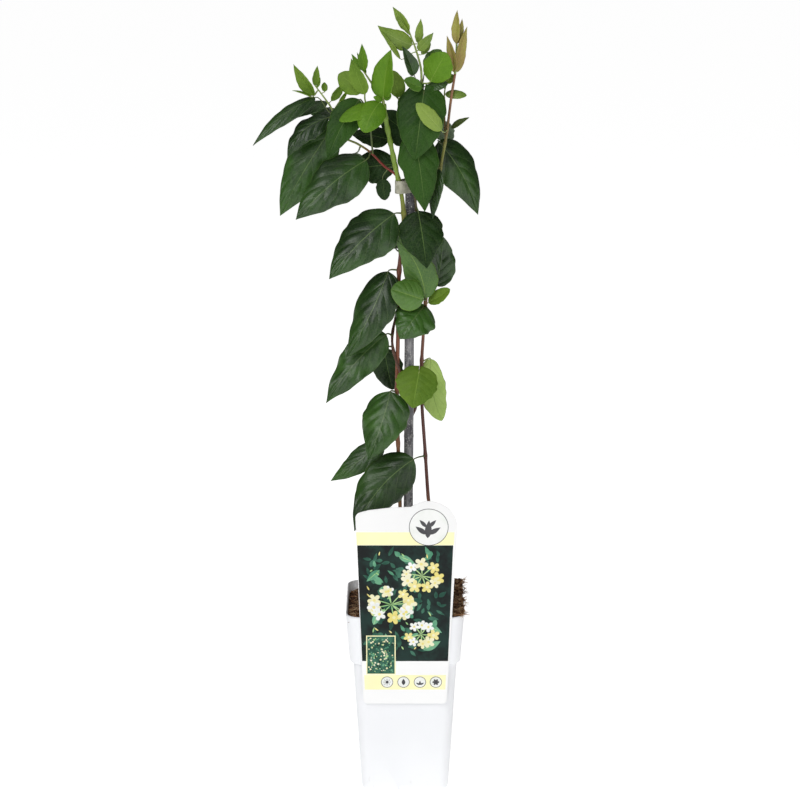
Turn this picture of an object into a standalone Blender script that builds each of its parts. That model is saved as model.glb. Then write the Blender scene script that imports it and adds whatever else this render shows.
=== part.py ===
"""Evergreen honeysuckle trained up a cane in a tall square nursery pot.

Run with: blender --background --python part.py
The origin is the centre of the pot's underside, +Z is up and -Y is the front, where the label hangs.
Tables are in millimetres and degrees, and MM turns them into Blender's metres.
"""

import math
from dataclasses import dataclass

import bmesh
import bpy
from mathutils import Vector, noise

MM = 0.001
GAP = 0.3

# Pot: half widths across the flats, at heights above the ground
WALL = 1.2
FLOOR = 1.6
CORNER = 10.0
FOOT_HALF = 39.6
BASE_HALF = 42.2
BASE_Z = 4.0
BODY_HALF = 49.7
BODY_Z = 133.5
COLLAR_HALF = 53.1
COLLAR_Z = 136.0
RIM_HALF = 56.6
RIM_Z = 183.0
CORNER_STEPS = 4
NOTCH = (14.0, 12.0, 8.0)
DRAIN_RADIUS = 4.0
DRAIN_AT = 24.0

# Potting mix
SOIL_EDGE_Z = 178.0
SOIL_HEAP = 7.0
SOIL_LUMP = 3.4

# Cane and the tie that holds the leading stem to it
CANE_FOOT = (2.0, 0.0, 24.0)
CANE_TOP = (4.8, 0.0, 650.0)
CANE_RADIUS = 4.7
TIE_Z = 581.0
TIE_HEIGHT = 12.0
TIE_WALL = 0.7
TIE_AIR = 0.45

# Label: the card lies along the collar's front and hooks over the rim
CARD = 0.8
CARD_AIR = 0.4
CARD_FOOT_Z = 94.0
CARD_FOOT_HALF = 40.0
CARD_SHOULDER_Z = 284.0
CARD_SHOULDER_HALF = 46.5
CARD_CORNER = 4.0
CARD_DISC = (22.0, 274.0, 27.0)
HOOK_HALF = 11.0
HOOK_DEPTH = 34.0

LEAF_THICK = 0.8
PETIOLE_HALF = 0.75
TIP_HALF = 0.3

# Shoots end in the ground this far below the soil's edge
ROOTED_Z = 112.0

# Routes of the woody stems: points in mm and the radius at the foot and at the top
STEMS = {
    "stem_left": [
        [(-5.4, -3, ROOTED_Z), (-5, -3.4, 180), (-4.6, -3.8, 263), (-6.8, -4.2, 343), (-7.8, -4.8, 391),
         (-6.9, -4.4, 436), (-6.3, -4.2, 479), (-5.6, -5.2, 508), (-3, -7.6, 534), (-1.4, -9, 556),
         (-2.4, -9.4, 572), (-5.4, -9.4, 589), (-10.4, -10, 612), (-17, -12, 645), (-20, -16, 664)], 1.7, 2.1],
    "stem_twining": [
        [(3, 7.6, ROOTED_Z), (2.5, 7.4, 200), (2.2, 7.2, 300), (4, 7.6, 352), (10.4, 0.5, 378),
         (4.4, -8.4, 396),
         (-4.5, -9.6, 411), (-12.2, -3.6, 438), (-8, 6.4, 464), (1, 8.2, 492), (8.5, 5.6, 524), (11.2, 0, 548),
         (9.6, -5.6, 572), (8.6, -7, 590), (10.6, -4.6, 629), (13.4, -3, 660), (15, -3, 685)], 1.5, 1.1],
    "stem_right": [
        [(25, -6, ROOTED_Z), (26, -6, 190), (24, -4, 268), (22, -3, 288), (19, -2, 333), (16, -1, 377),
         (15.4, 0, 411), (17, 0, 443), (19, 0, 475), (22, 0, 509), (27, 0, 566), (31.4, 0, 595), (38, 0, 634),
         (42, 0, 666), (45.6, 0, 690)], 2.0, 1.2],
}

# Side branches that grew from those stems, and are one piece with them
BRANCHES = {
    "stem_left": [
        [[(-7, -9.4, 596), (-11, -7.4, 600), (-20, -4, 606), (-32, -3, 618), (-44, -3, 626), (-56, -2, 632),
          (-63, -1, 646), (-66, 0, 655)], 1.2, 0.9],
        [[(-30, -3.2, 616), (-32, -4, 640), (-34, -9, 656), (-36, -13, 664)], 0.9, 0.8],
    ],
    "stem_twining": [[[(12.6, -3.4, 652), (6, 3, 656), (-4, 5, 664), (-15, 5, 677)], 0.9, 0.7]],
    "stem_right": [[[(37, 0, 629), (36.5, 4, 645), (36, 6, 660), (36, 6, 668)], 0.9, 0.7]],
}


@dataclass
class Leaf:
    """One leaf. base and tip are the ends of its blade, and faces is the way its upper side looks."""

    name: str
    stem: str
    base: tuple
    tip: tuple
    width: float
    faces: tuple = (-0.2, -0.9, 0.4)
    fold: float = -16.0
    arch: float = 0.07
    sweep: float = 0.0
    twist: float = 0.0
    wave: float = 0.0
    shape: str = "ovate"
    tone: str = "leaf_dark"


# Power of the outline at the base and at the tip: a low power is a round end, a high one a drawn-out point
OUTLINES = {"ovate": (0.50, 1.02), "narrow": (0.62, 1.05), "oval": (0.50, 0.62), "heart": (0.36, 0.80)}

LEAVES = [
    Leaf("leaf_left_long", "stem_left", (-83, -6.6, 669.4), (-139, -28, 628), 19, (-.15, -.72, .68), -24,
         .09, .02),
    Leaf("leaf_left_long_pair", "stem_left", (-72, 5.6, 663), (-114, 4.6, 645), 15, (-.2, -.6, .8), -12,
         .08),
    Leaf("leaf_left_crinkled", "stem_left", (-71, -9, 651), (-108, -22, 616), 26, (-.3, -.8, .55), -22,
         .14, .08, wave=.06),
    Leaf("leaf_left_hidden", "stem_left", (-63, 14, 651), (-88, 28, 649), 18, (0, -.6, .8), -14, .12),
    Leaf("leaf_left_hanging", "stem_left", (-68, -3, 640), (-116, -9, 560), 45, (-.08, -.98, .1), -16,
         .02, .02, wave=.02),
    Leaf("leaf_left_shaded", "stem_left", (-42, -12, 668), (-71, -34, 616), 29, (.1, -.9, .4), -10, .06,
         .04),
    Leaf("leaf_left_broad", "stem_left", (-36, -15, 613), (-100, -42, 562), 46, (-.1, -.92, .36), -18,
         .06, .03, wave=.04),
    Leaf("leaf_left_upper", "stem_left", (-10, -10, 562), (-70, -38, 506), 49, (-.1, -.88, .45), -18,
         .06, .03, wave=.03),
    Leaf("leaf_left_middle", "stem_left", (-16, -8, 507), (-55, -30, 430), 43, (-.3, -.9, .3), -20, .06,
         -.05, wave=.03),
    Leaf("leaf_left_wavy", "stem_twining", (-18, -8, 447), (-74, -30, 386), 37, (-.1, -.9, .4), -16, .05,
         .04, 24, .10),
    Leaf("leaf_left_rear", "stem_twining", (-20, 6, 430), (-12, 18, 387), 30, (-.2, -.9, .1), -8, .04,
         shape="oval"),
    Leaf("leaf_left_lower", "stem_left", (-14, -10, 392), (-35, -34, 331), 46, (-.25, -.9, .3), -16, .07,
         -.04, wave=.04),
    Leaf("leaf_left_small", "stem_left", (-22, -1, 340), (-71, -6, 303), 25, (-.1, -.85, .5), -12, .05,
         -.03),
    Leaf("leaf_bottom", "stem_right", (8, -15, 327), (-48, -38, 263), 46, (-.05, -.95, .25), -18, .05,
         .08, wave=.04),
    Leaf("leaf_front_upper", "stem_twining", (17, -11, 675), (9, -25, 615), 46, (0, -.97, .2), -12, .05,
         shape="heart"),
    Leaf("leaf_front_lower", "stem_twining", (7, -12, 638), (18, -23, 566), 37, (0, -.97, .2), -14, .05,
         -.02),
    Leaf("leaf_right_broad", "stem_right", (31, 12, 626), (68, 9, 558), 40, (.3, -.88, .35), -16, .05,
         -.05),
    Leaf("leaf_right_narrow", "stem_right", (30, -5, 603), (25.5, -15, 558), 17, (-.6, -.8, .1), -12, .04),
    Leaf("leaf_centre_upper", "stem_twining", (12, -12, 565), (20, -28, 514), 43, (.1, -.95, .2), -14,
         .07, wave=.05),
    Leaf("leaf_right_cupped", "stem_right", (28, 10, 490), (34, 14, 538), 30, (.5, -.85, .1), 18, -.05,
         .10, wave=.05),
    Leaf("leaf_centre_pale", "stem_right", (19, -5.4, 481), (-11, -13.6, 542), 30, (-.2, -.95, .3), -10,
         .02, .10, tone="leaf_mid"),
    Leaf("leaf_centre_blunt", "stem_right", (17, -12.4, 481), (-13, -31, 495), 29, (0, -.95, .3), -8,
         .06, shape="oval",
         tone="leaf_mid"),
    Leaf("leaf_right_bud", "stem_right", (22, -1, 476), (42, -7, 490), 14, (.1, -.8, .6), 14, -.05,
         shape="oval",
         tone="leaf_light"),
    Leaf("leaf_centre_curled", "stem_right", (16, -9, 472), (-5, -27, 447), 41, (.1, -.85, .5), -14, .16,
         wave=.05,
         shape="heart"),
    Leaf("leaf_heart", "stem_right", (13, -15, 412), (7, -29, 381), 40, (0, -.97, .2), -6, .06,
         shape="heart",
         tone="leaf_light"),
    Leaf("leaf_pale_hanging", "stem_right", (24, 5, 420), (35, 4, 360), 26, (.1, -.98, .1), -6, .02, .06,
         shape="oval",
         tone="leaf_pale"),
    Leaf("leaf_shade_low", "stem_left", (-10, 4, 606), (-48, 10, 601), 31, (0, -.9, .3), -8, .05,
         shape="oval"),
    Leaf("leaf_shade_right", "stem_twining", (11, 12, 626), (-28, 23, 655), 31, (.3, -.9, .2), -8, .05),
    Leaf("leaf_shade_left", "stem_left", (-15, 5, 629), (-51, 11, 634), 23, (0, -.75, .65), -8, .06),
    Leaf("leaf_shade_hanging", "stem_left", (-21, 0, 593), (-19, 0, 573), 14, (0, -1, 0), -6, .04,
         shape="oval",
         tone="leaf_olive"),
    Leaf("leaf_crown_upright", "stem_twining", (8, -7, 690), (-3, -16, 717), 14, (.5, -.85, .1), 20, .04),
    Leaf("leaf_crown_back", "stem_twining", (19, 3, 694), (33, 9, 711), 17, (.2, -.9, .3), -8, .05,
         shape="oval",
         tone="leaf_mid"),
    Leaf("leaf_crown_shade", "stem_twining", (20.5, -4, 679), (39, -5, 682), 13, (0, -.7, .7), -8, .06,
         shape="oval"),
    Leaf("leaf_crown_bright", "stem_twining", (23, -7, 684), (37, -14, 711), 28, (0, -.95, .3), -10, .06,
         shape="oval",
         tone="leaf_bright"),
    Leaf("leaf_crown_front", "stem_twining", (15, -13, 679), (-1, -22, 687), 14, (.1, -.8, .6), 10, -.04,
         shape="oval",
         tone="leaf_mid"),
    Leaf("leaf_crown_left", "stem_twining", (-5, -1, 669), (-12, -8, 694), 16, (-.1, -.9, .4), -8, .05,
         shape="oval",
         tone="leaf_light"),
    Leaf("leaf_right_young", "stem_right", (33, -21, 641), (10, -39, 668), 15, (-.2, -.9, .4), -8, .03,
         shape="oval",
         tone="leaf_lime"),
    Leaf("leaf_right_young_pair", "stem_right", (43, 2, 640), (59, 0, 650), 9, (-.3, -.5, .8), 10, .03,
         tone="leaf_olive"),
    Leaf("leaf_rear_upper", "stem_left", (-9, 3, 527), (-26, 38, 541), 32, (-.1, .4, .9), -12, .08),
    Leaf("leaf_rear_middle", "stem_left", (-12, 5, 478), (-36, 44, 450), 36, (-.2, .6, .8), -14, .08),
    Leaf("leaf_rear_lower", "stem_twining", (-1, 14, 372), (-25, 50, 346), 36, (-.2, .6, .8), -14, .08),
    Leaf("leaf_rear_right", "stem_twining", (12, 13, 528), (24, 52, 505), 34, (.2, .6, .8), -14, .08),
    Leaf("leaf_rear_crown", "stem_twining", (22, 8, 650), (42, 50, 616), 34, (.2, .6, .8), -14, .08),
    Leaf("leaf_rear_left", "stem_left", (-46, 14, 615), (-74, 50, 584), 32, (-.3, .6, .8), -14, .08),
]

# Leafy shoot tips. Each is one piece: a soft stem in mm, with the radius at its foot and top, and its leaves.
SHOOTS = {
    "shoot_left": dict(
        stem=[[(-66, 0, 655), (-70, -1, 662), (-77, -2.5, 672), (-83, -3.5, 680)], 0.9, 0.6],
        twigs=[[[(-66.3, 0, 655.8), (-63, 2, 661), (-60, 4, 665)], 0.7, 0.6]],
        leaves=[
            Leaf("", "", (-84, -5, 671), (-102, -12, 700), 13, (-.5, -.8, .3), 22, .03, shape="narrow"),
            Leaf("", "", (-83, -3.5, 680), (-80.5, -4, 698), 7, (.2, -1, 0), 16, .03, shape="narrow"),
            Leaf("", "", (-81, -3, 678), (-78, -2, 687), 3.4, (.3, -1, 0), 10, .03, shape="narrow"),
            Leaf("", "", (-86, -9, 670), (-103, -18, 677), 6, (0, -.3, 1), 14, .03, shape="narrow"),
            Leaf("", "", (-74, 0, 674), (-74.5, 3, 682), 6, (.1, -.9, .3), 10, -.1, shape="oval"),
            Leaf("", "", (-68, 4, 665), (-56, 8, 681), 8, (.5, -.8, .3), 16, .05, shape="narrow"),
            Leaf("", "", (-61, 4, 663), (-53, 7, 674), 4, (.6, -.5, .6), 12, .05, shape="narrow"),
        ],
        tone="leaf_light",
    ),
    "shoot_bright": dict(
        stem=[[(-20, -16, 664), (-21, -16, 669), (-30, -13, 682), (-38, -13, 694)], 1.6, 0.7],
        twigs=[],
        leaves=[
            Leaf("", "", (-38, -14, 694), (-39.5, -15, 719), 9, (.1, -1, .1), 18, .03, shape="narrow"),
            Leaf("", "", (-39, -12, 695), (-49, -8, 709), 6, (-.5, -.8, .3), 18, .03, shape="narrow"),
            Leaf("", "", (-36, -12, 692), (-44, -12, 711), 5, (-.3, -1, 0), 18, .03, shape="narrow"),
            Leaf("", "", (-20, -19, 670), (-13, -27, 715), 26, (-.45, -.85, .2), 20, -.02, -.05,
                 shape="ovate"),
            Leaf("", "", (-24, -19, 664), (-60, -32, 651), 17, (0, -.7, .7), -8, .06, shape="oval"),
            Leaf("", "", (-23, -21, 667), (-37, -37, 641), 26, (-.1, -.9, .4), -8, .09, .04, shape="oval"),
            Leaf("", "", (-19, -19, 669), (-13, -21, 674), 6, (.3, -.9, .4), -5, .03, shape="oval"),
            Leaf("", "", (-21, -20, 668), (-29, -24, 672), 5, (-.3, -.9, .4), -5, .03, shape="oval"),
        ],
        tone="leaf_bright",
    ),
    "shoot_middle": dict(
        stem=[[(-36, -13, 664), (-37, -15, 669), (-37, -16, 674)], 0.8, 0.7],
        twigs=[],
        leaves=[
            Leaf("", "", (-37, -19, 674), (-49, -27, 707), 16, (-.35, -.9, .1), 14, .04, shape="narrow"),
            Leaf("", "", (-39, -14, 676), (-61, -9, 691), 21, (-.2, -.9, .3), -6, .05, shape="oval"),
        ],
        tone="leaf_light",
    ),
    "shoot_crown": dict(
        stem=[[(15, -3, 685), (14, -3, 697), (9.5, -2, 713), (6, -1, 722), (3, 0, 730)], 1.1, 0.7],
        twigs=[],
        leaves=[
            Leaf("", "", (3, 0, 729), (-11.5, 0, 751), 10, (-.4, -.9, .1), 20, .03, .03, shape="narrow"),
            Leaf("", "", (4, -1, 726), (-7, -3, 742), 3.4, (-.5, -.8, 0), 12, .03, shape="narrow"),
            Leaf("", "", (6, -3, 717), (-25, -11, 735), 17, (-.3, -.9, .3), -8, .09, -.06),
            Leaf("", "", (-5, -8, 705), (-22.5, -14, 730), 5, (-.5, -.8, .2), 12, .02, .04, shape="narrow"),
            Leaf("", "", (12, 1, 718), (14.2, 2, 740), 8, (-.1, -1, .1), 16, .03, shape="narrow"),
            Leaf("", "", (12, -3, 712), (25.5, -5, 728), 10, (.4, -.8, .4), 18, .04),
            Leaf("", "", (15, 0, 708), (23, 3, 718), 6, (.4, -.8, .4), 10, .04, shape="oval"),
        ],
        tone="leaf_lime",
    ),
    "shoot_tip": dict(
        stem=[[(45.6, 0, 690), (46.6, 0, 702), (47, 0, 718)], 1.2, 0.9],
        twigs=[],
        leaves=[
            Leaf("", "", (46.6, -1, 718), (47.4, 0, 748), 9, (-.4, -.9, 0), 22, .03, shape="narrow"),
            Leaf("", "", (47.6, 1, 718), (52, 3, 740), 7, (.5, -.9, 0), 20, .03, shape="narrow"),
            Leaf("", "", (48, 1, 692), (56.4, 0, 733), 11, (.4, -.9, .1), 24, .03, -.05, shape="narrow"),
            Leaf("", "", (44.6, -1, 692), (38, -4, 725), 10, (-.4, -.9, .1), 24, .03, .05, shape="narrow"),
        ],
        tone="leaf_copper",
    ),
    "shoot_side": dict(
        stem=[[(36, 6, 668), (36.4, 6, 674), (38, 5, 681)], 0.7, 0.6],
        twigs=[],
        leaves=[
            Leaf("", "", (37, 5, 671), (56.5, 3, 670), 9, (.1, -.9, .5), -6, .06, shape="oval"),
            Leaf("", "", (38, 5, 681), (44, 5, 689), 8, (-.2, -.9, .3), 8, .03, shape="oval"),
            Leaf("", "", (36.5, 6, 676), (33, 6, 690), 6, (-.4, -.9, .3), 8, .03, shape="oval"),
        ],
        tone="leaf_lime",
    ),
}

# Tone: colour and roughness of each material
TONES = {
    "leaf_dark": ((0.030, 0.085, 0.020), 0.38),
    "leaf_mid": ((0.060, 0.150, 0.035), 0.45),
    "leaf_light": ((0.130, 0.280, 0.040), 0.5),
    "leaf_bright": ((0.110, 0.300, 0.035), 0.45),
    "leaf_lime": ((0.230, 0.400, 0.055), 0.5),
    "leaf_pale": ((0.190, 0.340, 0.090), 0.6),
    "leaf_olive": ((0.100, 0.140, 0.030), 0.5),
    "leaf_copper": ((0.300, 0.240, 0.080), 0.5),
    "bark": ((0.150, 0.060, 0.025), 0.6),
    "cane": ((0.160, 0.155, 0.165), 0.7),
    "tie": ((0.420, 0.420, 0.360), 0.6),
    "soil": ((0.055, 0.028, 0.014), 0.95),
    "pot": ((0.860, 0.870, 0.890), 0.35),
    "card": ((0.850, 0.850, 0.820), 0.4),
}


def material(tone):
    found = bpy.data.materials.get(tone)
    if found:
        return found
    colour, roughness = TONES[tone]
    made = bpy.data.materials.new(tone)
    made.use_nodes = True
    shader = made.node_tree.nodes["Principled BSDF"]
    shader.inputs["Base Color"].default_value = (*colour, 1.0)
    shader.inputs["Roughness"].default_value = roughness
    shader.inputs["Metallic"].default_value = 0.0
    return made


def clear_scene():
    for obj in list(bpy.data.objects):
        bpy.data.objects.remove(obj)


def add_object(name, bm, tone, smooth_angle=40.0):
    bmesh.ops.recalc_face_normals(bm, faces=bm.faces)
    mesh = bpy.data.meshes.new(name)
    bm.to_mesh(mesh)
    bm.free()
    mesh.shade_smooth()
    mesh.set_sharp_from_angle(angle=math.radians(smooth_angle))
    obj = bpy.data.objects.new(name, mesh)
    bpy.context.scene.collection.objects.link(obj)
    mesh.materials.append(material(tone))
    return obj


def freeze(obj):
    """Turns an object's modifiers into its mesh."""
    graph = bpy.context.evaluated_depsgraph_get()
    mesh = bpy.data.meshes.new_from_object(obj.evaluated_get(graph))
    obj.modifiers.clear()
    obj.data = mesh


def boolean(obj, others, operation):
    """One Boolean of a collection on obj, applied, with the collection's objects then removed."""
    group = bpy.data.collections.new(obj.name + "_tools")
    bpy.context.scene.collection.children.link(group)
    for other in others:
        group.objects.link(other)
    modifier = obj.modifiers.new(operation.title(), "BOOLEAN")
    modifier.operation = operation
    modifier.operand_type = "COLLECTION"
    modifier.collection = group
    modifier.solver = "MANIFOLD" if operation == "UNION" else "EXACT"
    freeze(obj)
    for other in others:
        bpy.data.objects.remove(other)
    bpy.data.collections.remove(group)


def smooth_route(points, steps):
    """Points along a smooth curve through the route's own points."""
    pts = [Vector(p) * MM for p in points]
    padded = [2 * pts[0] - pts[1], *pts, 2 * pts[-1] - pts[-2]]
    route = []
    for a, b, c, d in zip(padded, padded[1:], padded[2:], padded[3:]):
        for i in range(steps):
            t = i / steps
            route.append(0.5 * (2 * b + (c - a) * t + (2 * a - 5 * b + 4 * c - d) * t * t
                                + (3 * b - 3 * c + d - a) * t ** 3))
    return [*route, pts[-1]]


def lengths_along(route):
    """Share of the whole length reached at each point of a route."""
    run = [0.0]
    for a, b in zip(route, route[1:]):
        run.append(run[-1] + (b - a).length)
    return [r / run[-1] for r in run]


def tube(name, spec, tone, steps=3, grow=0.0, rings=1):
    """A tapering stem along a route. grow widens it, for the hole that it stands in."""
    points, foot, top = spec
    route = smooth_route(points, steps)
    curve = bpy.data.curves.new(name, "CURVE")
    curve.dimensions = "3D"
    curve.bevel_depth = MM
    curve.bevel_resolution = rings
    curve.use_fill_caps = True
    spline = curve.splines.new("POLY")
    spline.points.add(len(route) - 1)
    for point, place, share in zip(spline.points, route, lengths_along(route)):
        point.co = (*place, 1.0)
        point.radius = foot + (top - foot) * share + grow
    holder = bpy.data.objects.new(name, curve)
    bpy.context.scene.collection.objects.link(holder)
    bpy.context.view_layer.update()
    mesh = bpy.data.meshes.new_from_object(holder.evaluated_get(bpy.context.evaluated_depsgraph_get()))
    bpy.data.objects.remove(holder)
    bm = bmesh.new()
    bm.from_mesh(mesh)
    bmesh.ops.remove_doubles(bm, verts=bm.verts, dist=0.01 * MM)
    return add_object(name, bm, tone)


def nearest_on_stem(spec, place):
    """(point, tangent, radius) of a stem at its nearest place to a leaf's base."""
    points, foot, top = spec
    route = smooth_route(points, 8)
    share = lengths_along(route)
    i = min(range(1, len(route) - 1), key=lambda k: (route[k] - place).length)
    return route[i], (route[i + 1] - route[i - 1]).normalized(), (foot + (top - foot) * share[i]) * MM


def leaf_frame(leaf):
    """The blade's base, tip, length, upward normal and sideways direction."""
    base, tip = Vector(leaf.base) * MM, Vector(leaf.tip) * MM
    along = (tip - base).normalized()
    normal = Vector(leaf.faces)
    normal = (normal - normal.dot(along) * along).normalized()
    return base, tip, (tip - base).length, normal, along.cross(normal)


def midrib(leaf, t):
    """Point and direction of the midrib, t from 0 at the blade's base to 1 at its tip."""
    base, tip, length, normal, side = leaf_frame(leaf)
    bow = (leaf.arch * normal + leaf.sweep * side) * length
    return base.lerp(tip, t) + bow * 4 * t * (1 - t), (tip - base + bow * 4 * (1 - 2 * t)).normalized()


def half_width(leaf, t):
    """Half the blade's width at t, in metres."""
    a, b = OUTLINES[leaf.shape]
    peak = a / (a + b)
    outline = (t / peak) ** a * ((1 - t) / (1 - peak)) ** b
    least = PETIOLE_HALF + (TIP_HALF - PETIOLE_HALF) * t
    return max(leaf.width / 2 * outline, least) * MM


def blade_point(leaf, t, v):
    """Point of the blade's middle surface at t along it and v across it, from -1 to 1."""
    normal = leaf_frame(leaf)[3]
    place, along = midrib(leaf, t)
    up = (normal - normal.dot(along) * along).normalized()
    turn = math.radians(leaf.twist) * (t - 0.5)
    side = along.cross(up)
    up, side = up * math.cos(turn) + side * math.sin(turn), side * math.cos(turn) - up * math.sin(turn)
    half = half_width(leaf, t)
    fold = math.radians(leaf.fold)
    ripple = leaf.wave * leaf.width * MM * v * v * math.sin(15.5 * t + 1.3 * v) * math.sin(math.pi * t)
    return place + side * (v * half * math.cos(fold)) + up * (abs(v) * half * math.sin(fold) + ripple)


def petiole_point(leaf, start, start_way, s, v):
    """Point of the leaf stalk's middle surface, s from 0 at the stem to 1 at the blade."""
    end, end_way = midrib(leaf, 0.0)
    reach = (end - start).length
    a, b = start_way * reach, end_way * reach
    place = (start * (2 * s ** 3 - 3 * s * s + 1) + a * (s ** 3 - 2 * s * s + s)
             + end * (3 * s * s - 2 * s ** 3) + b * (s ** 3 - s * s))
    way = (start_way * (1 - s) + (end - start).normalized() * s * (1 - s) * 2 + end_way * s).normalized()
    normal = leaf_frame(leaf)[3]
    up = (normal - normal.dot(way) * way).normalized()
    return place + way.cross(up) * (v * PETIOLE_HALF * MM)


def leaf_object(leaf, start, start_way, stalk_rows, blade_rows, columns, tone):
    """A leaf with its stalk as one thin solid: a grid bent into shape, then given its thickness."""
    rows = stalk_rows + blade_rows
    bm = bmesh.new()
    bmesh.ops.create_grid(bm, x_segments=rows, y_segments=columns, size=1.0)
    for vert in bm.verts:
        row = round((vert.co.x + 1) / 2 * rows)
        across = vert.co.y
        if row < stalk_rows:
            vert.co = petiole_point(leaf, start, start_way, row / stalk_rows, across)
        else:
            t = (row - stalk_rows) / blade_rows
            eased = 0.5 * t + 0.25 * (1 - math.cos(math.pi * t))
            vert.co = blade_point(leaf, eased, across)
    bmesh.ops.triangulate(bm, faces=bm.faces)
    obj = add_object(leaf.name, bm, tone, 60.0)
    solid = obj.modifiers.new("Thickness", "SOLIDIFY")
    solid.thickness = LEAF_THICK * MM
    solid.offset = 0.0
    freeze(obj)
    return obj


def large_leaves():
    """Each full-grown leaf, its stalk ending at the bark of the stem that bears it."""
    for leaf in LEAVES:
        base = Vector(leaf.base) * MM
        runs = [STEMS[leaf.stem], *BRANCHES[leaf.stem]]
        place, tangent, radius = min((nearest_on_stem(run, base) for run in runs),
                                     key=lambda found: (found[0] - base).length)
        out = base - place
        out = (out - out.dot(tangent) * tangent).normalized()
        start = place + out * (radius + 1.5 * GAP * MM)
        leaf_object(leaf, start, out, 1, 8, 2, leaf.tone)


def stems():
    for name, spec in STEMS.items():
        stem = tube(name, spec, "bark")
        twigs = [tube(f"{name}_twig_{i}", twig, "bark") for i, twig in enumerate(BRANCHES[name])]
        boolean(stem, twigs, "UNION")


def shoots():
    """Leafy tips, with every young leaf's foot sunk into the soft stem."""
    for name, shoot in SHOOTS.items():
        points, foot, top = shoot["stem"]
        start = Vector(points[0])
        lift = (Vector(points[1]) - start).normalized() * 2.5 * GAP
        spec = [[tuple(start + lift), *points[1:]], foot, top]
        stem = tube(name, spec, shoot["tone"])
        grown = [tube(f"{name}_twig_{i}", twig, shoot["tone"]) for i, twig in enumerate(shoot["twigs"])]
        for i, leaf in enumerate(shoot["leaves"]):
            base = Vector(leaf.base) * MM
            runs = [spec, *shoot["twigs"]]
            place, tangent, radius = min((nearest_on_stem(run, base) for run in runs),
                                         key=lambda found: (found[0] - base).length)
            way = (midrib(leaf, 0.0)[1] + (base - place)).normalized()
            leaf.name = f"{name}_leaf_{i}"
            grown.append(leaf_object(leaf, place, way, 1, 4, 2, shoot["tone"]))
        boolean(stem, grown, "UNION")


def rounded_square(half, corner, z):
    """Points round a square with round corners, in mm."""
    ring = []
    reach = half - corner
    for quarter in range(4):
        turn = math.pi / 2 * quarter
        cx, cy = ((1, 1), (-1, 1), (-1, -1), (1, -1))[quarter]
        for i in range(CORNER_STEPS + 1):
            a = turn + math.pi / 2 * i / CORNER_STEPS
            ring.append((cx * reach + corner * math.cos(a), cy * reach + corner * math.sin(a), z))
    return ring


def loft(rings):
    """A closed skin through rings of as many points each, with a flat cap at both ends."""
    bm = bmesh.new()
    loops = [[bm.verts.new(Vector(p) * MM) for p in ring] for ring in rings]
    count = len(loops[0])
    for lower, upper in zip(loops, loops[1:]):
        for i in range(count):
            j = (i + 1) % count
            bm.faces.new((lower[i], lower[j], upper[j], upper[i]))
    bm.faces.new(loops[0][::-1])
    bm.faces.new(loops[-1])
    return bm


def box(name, low, high):
    bm = bmesh.new()
    bmesh.ops.create_cube(bm, size=1.0)
    low, high = Vector(low) * MM, Vector(high) * MM
    for vert in bm.verts:
        vert.co = (low + high) / 2 + vert.co * (high - low)
    return add_object(name, bm, "pot")


def inner_half(z):
    """Half width of the pot's inside at a height."""
    if z >= COLLAR_Z + WALL:
        return COLLAR_HALF + (RIM_HALF - COLLAR_HALF) * (z - COLLAR_Z) / (RIM_Z - COLLAR_Z) - WALL
    return BASE_HALF + (BODY_HALF - BASE_HALF) * (z - BASE_Z) / (BODY_Z - BASE_Z) - WALL


def pot():
    """A thin moulded wall that steps out to a wide collar, with drain slots in the foot."""
    step_in_z = BODY_Z + 0.4
    rings = [
        rounded_square(FOOT_HALF, CORNER - 2, 0),
        rounded_square(BASE_HALF - 0.9, CORNER, BASE_Z * 0.3),
        rounded_square(BASE_HALF, CORNER, BASE_Z),
        rounded_square(BODY_HALF, CORNER, BODY_Z),
        rounded_square(COLLAR_HALF - 0.6, CORNER, BODY_Z + 0.6),
        rounded_square(COLLAR_HALF, CORNER, COLLAR_Z),
        rounded_square(RIM_HALF, CORNER, RIM_Z - 0.6),
        rounded_square(RIM_HALF - 0.4, CORNER - 0.4, RIM_Z),
        rounded_square(RIM_HALF - WALL, CORNER - WALL, RIM_Z),
        rounded_square(inner_half(COLLAR_Z + WALL), CORNER - WALL, COLLAR_Z + WALL),
        rounded_square(inner_half(step_in_z), CORNER - WALL, step_in_z + WALL),
        rounded_square(inner_half(BASE_Z), CORNER - WALL, BASE_Z),
        rounded_square(FOOT_HALF - WALL, CORNER - 2 - WALL, FLOOR),
    ]
    shell = add_object("pot", loft(rings), "pot", 30.0)
    wide, deep, tall = NOTCH
    cutters = []
    for i, (sx, sy) in enumerate(((1, 0), (-1, 0), (0, 1), (0, -1))):
        cx, cy = sx * (FOOT_HALF + 2), sy * (FOOT_HALF + 2)
        hx = deep / 2 if sx else wide / 2
        hy = deep / 2 if sy else wide / 2
        cutters.append(box(f"slot_{i}", (cx - hx, cy - hy, -1), (cx + hx, cy + hy, tall)))
    for i, (sx, sy) in enumerate(((1, 1), (-1, 1), (-1, -1), (1, -1))):
        foot, head = (sx * DRAIN_AT, sy * DRAIN_AT, -2), (sx * DRAIN_AT, sy * DRAIN_AT, 5)
        cutters.append(tube(f"drain_{i}", [[foot, head], DRAIN_RADIUS, DRAIN_RADIUS], "pot", 1, 0.0, 3))
    boolean(shell, cutters, "DIFFERENCE")


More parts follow.
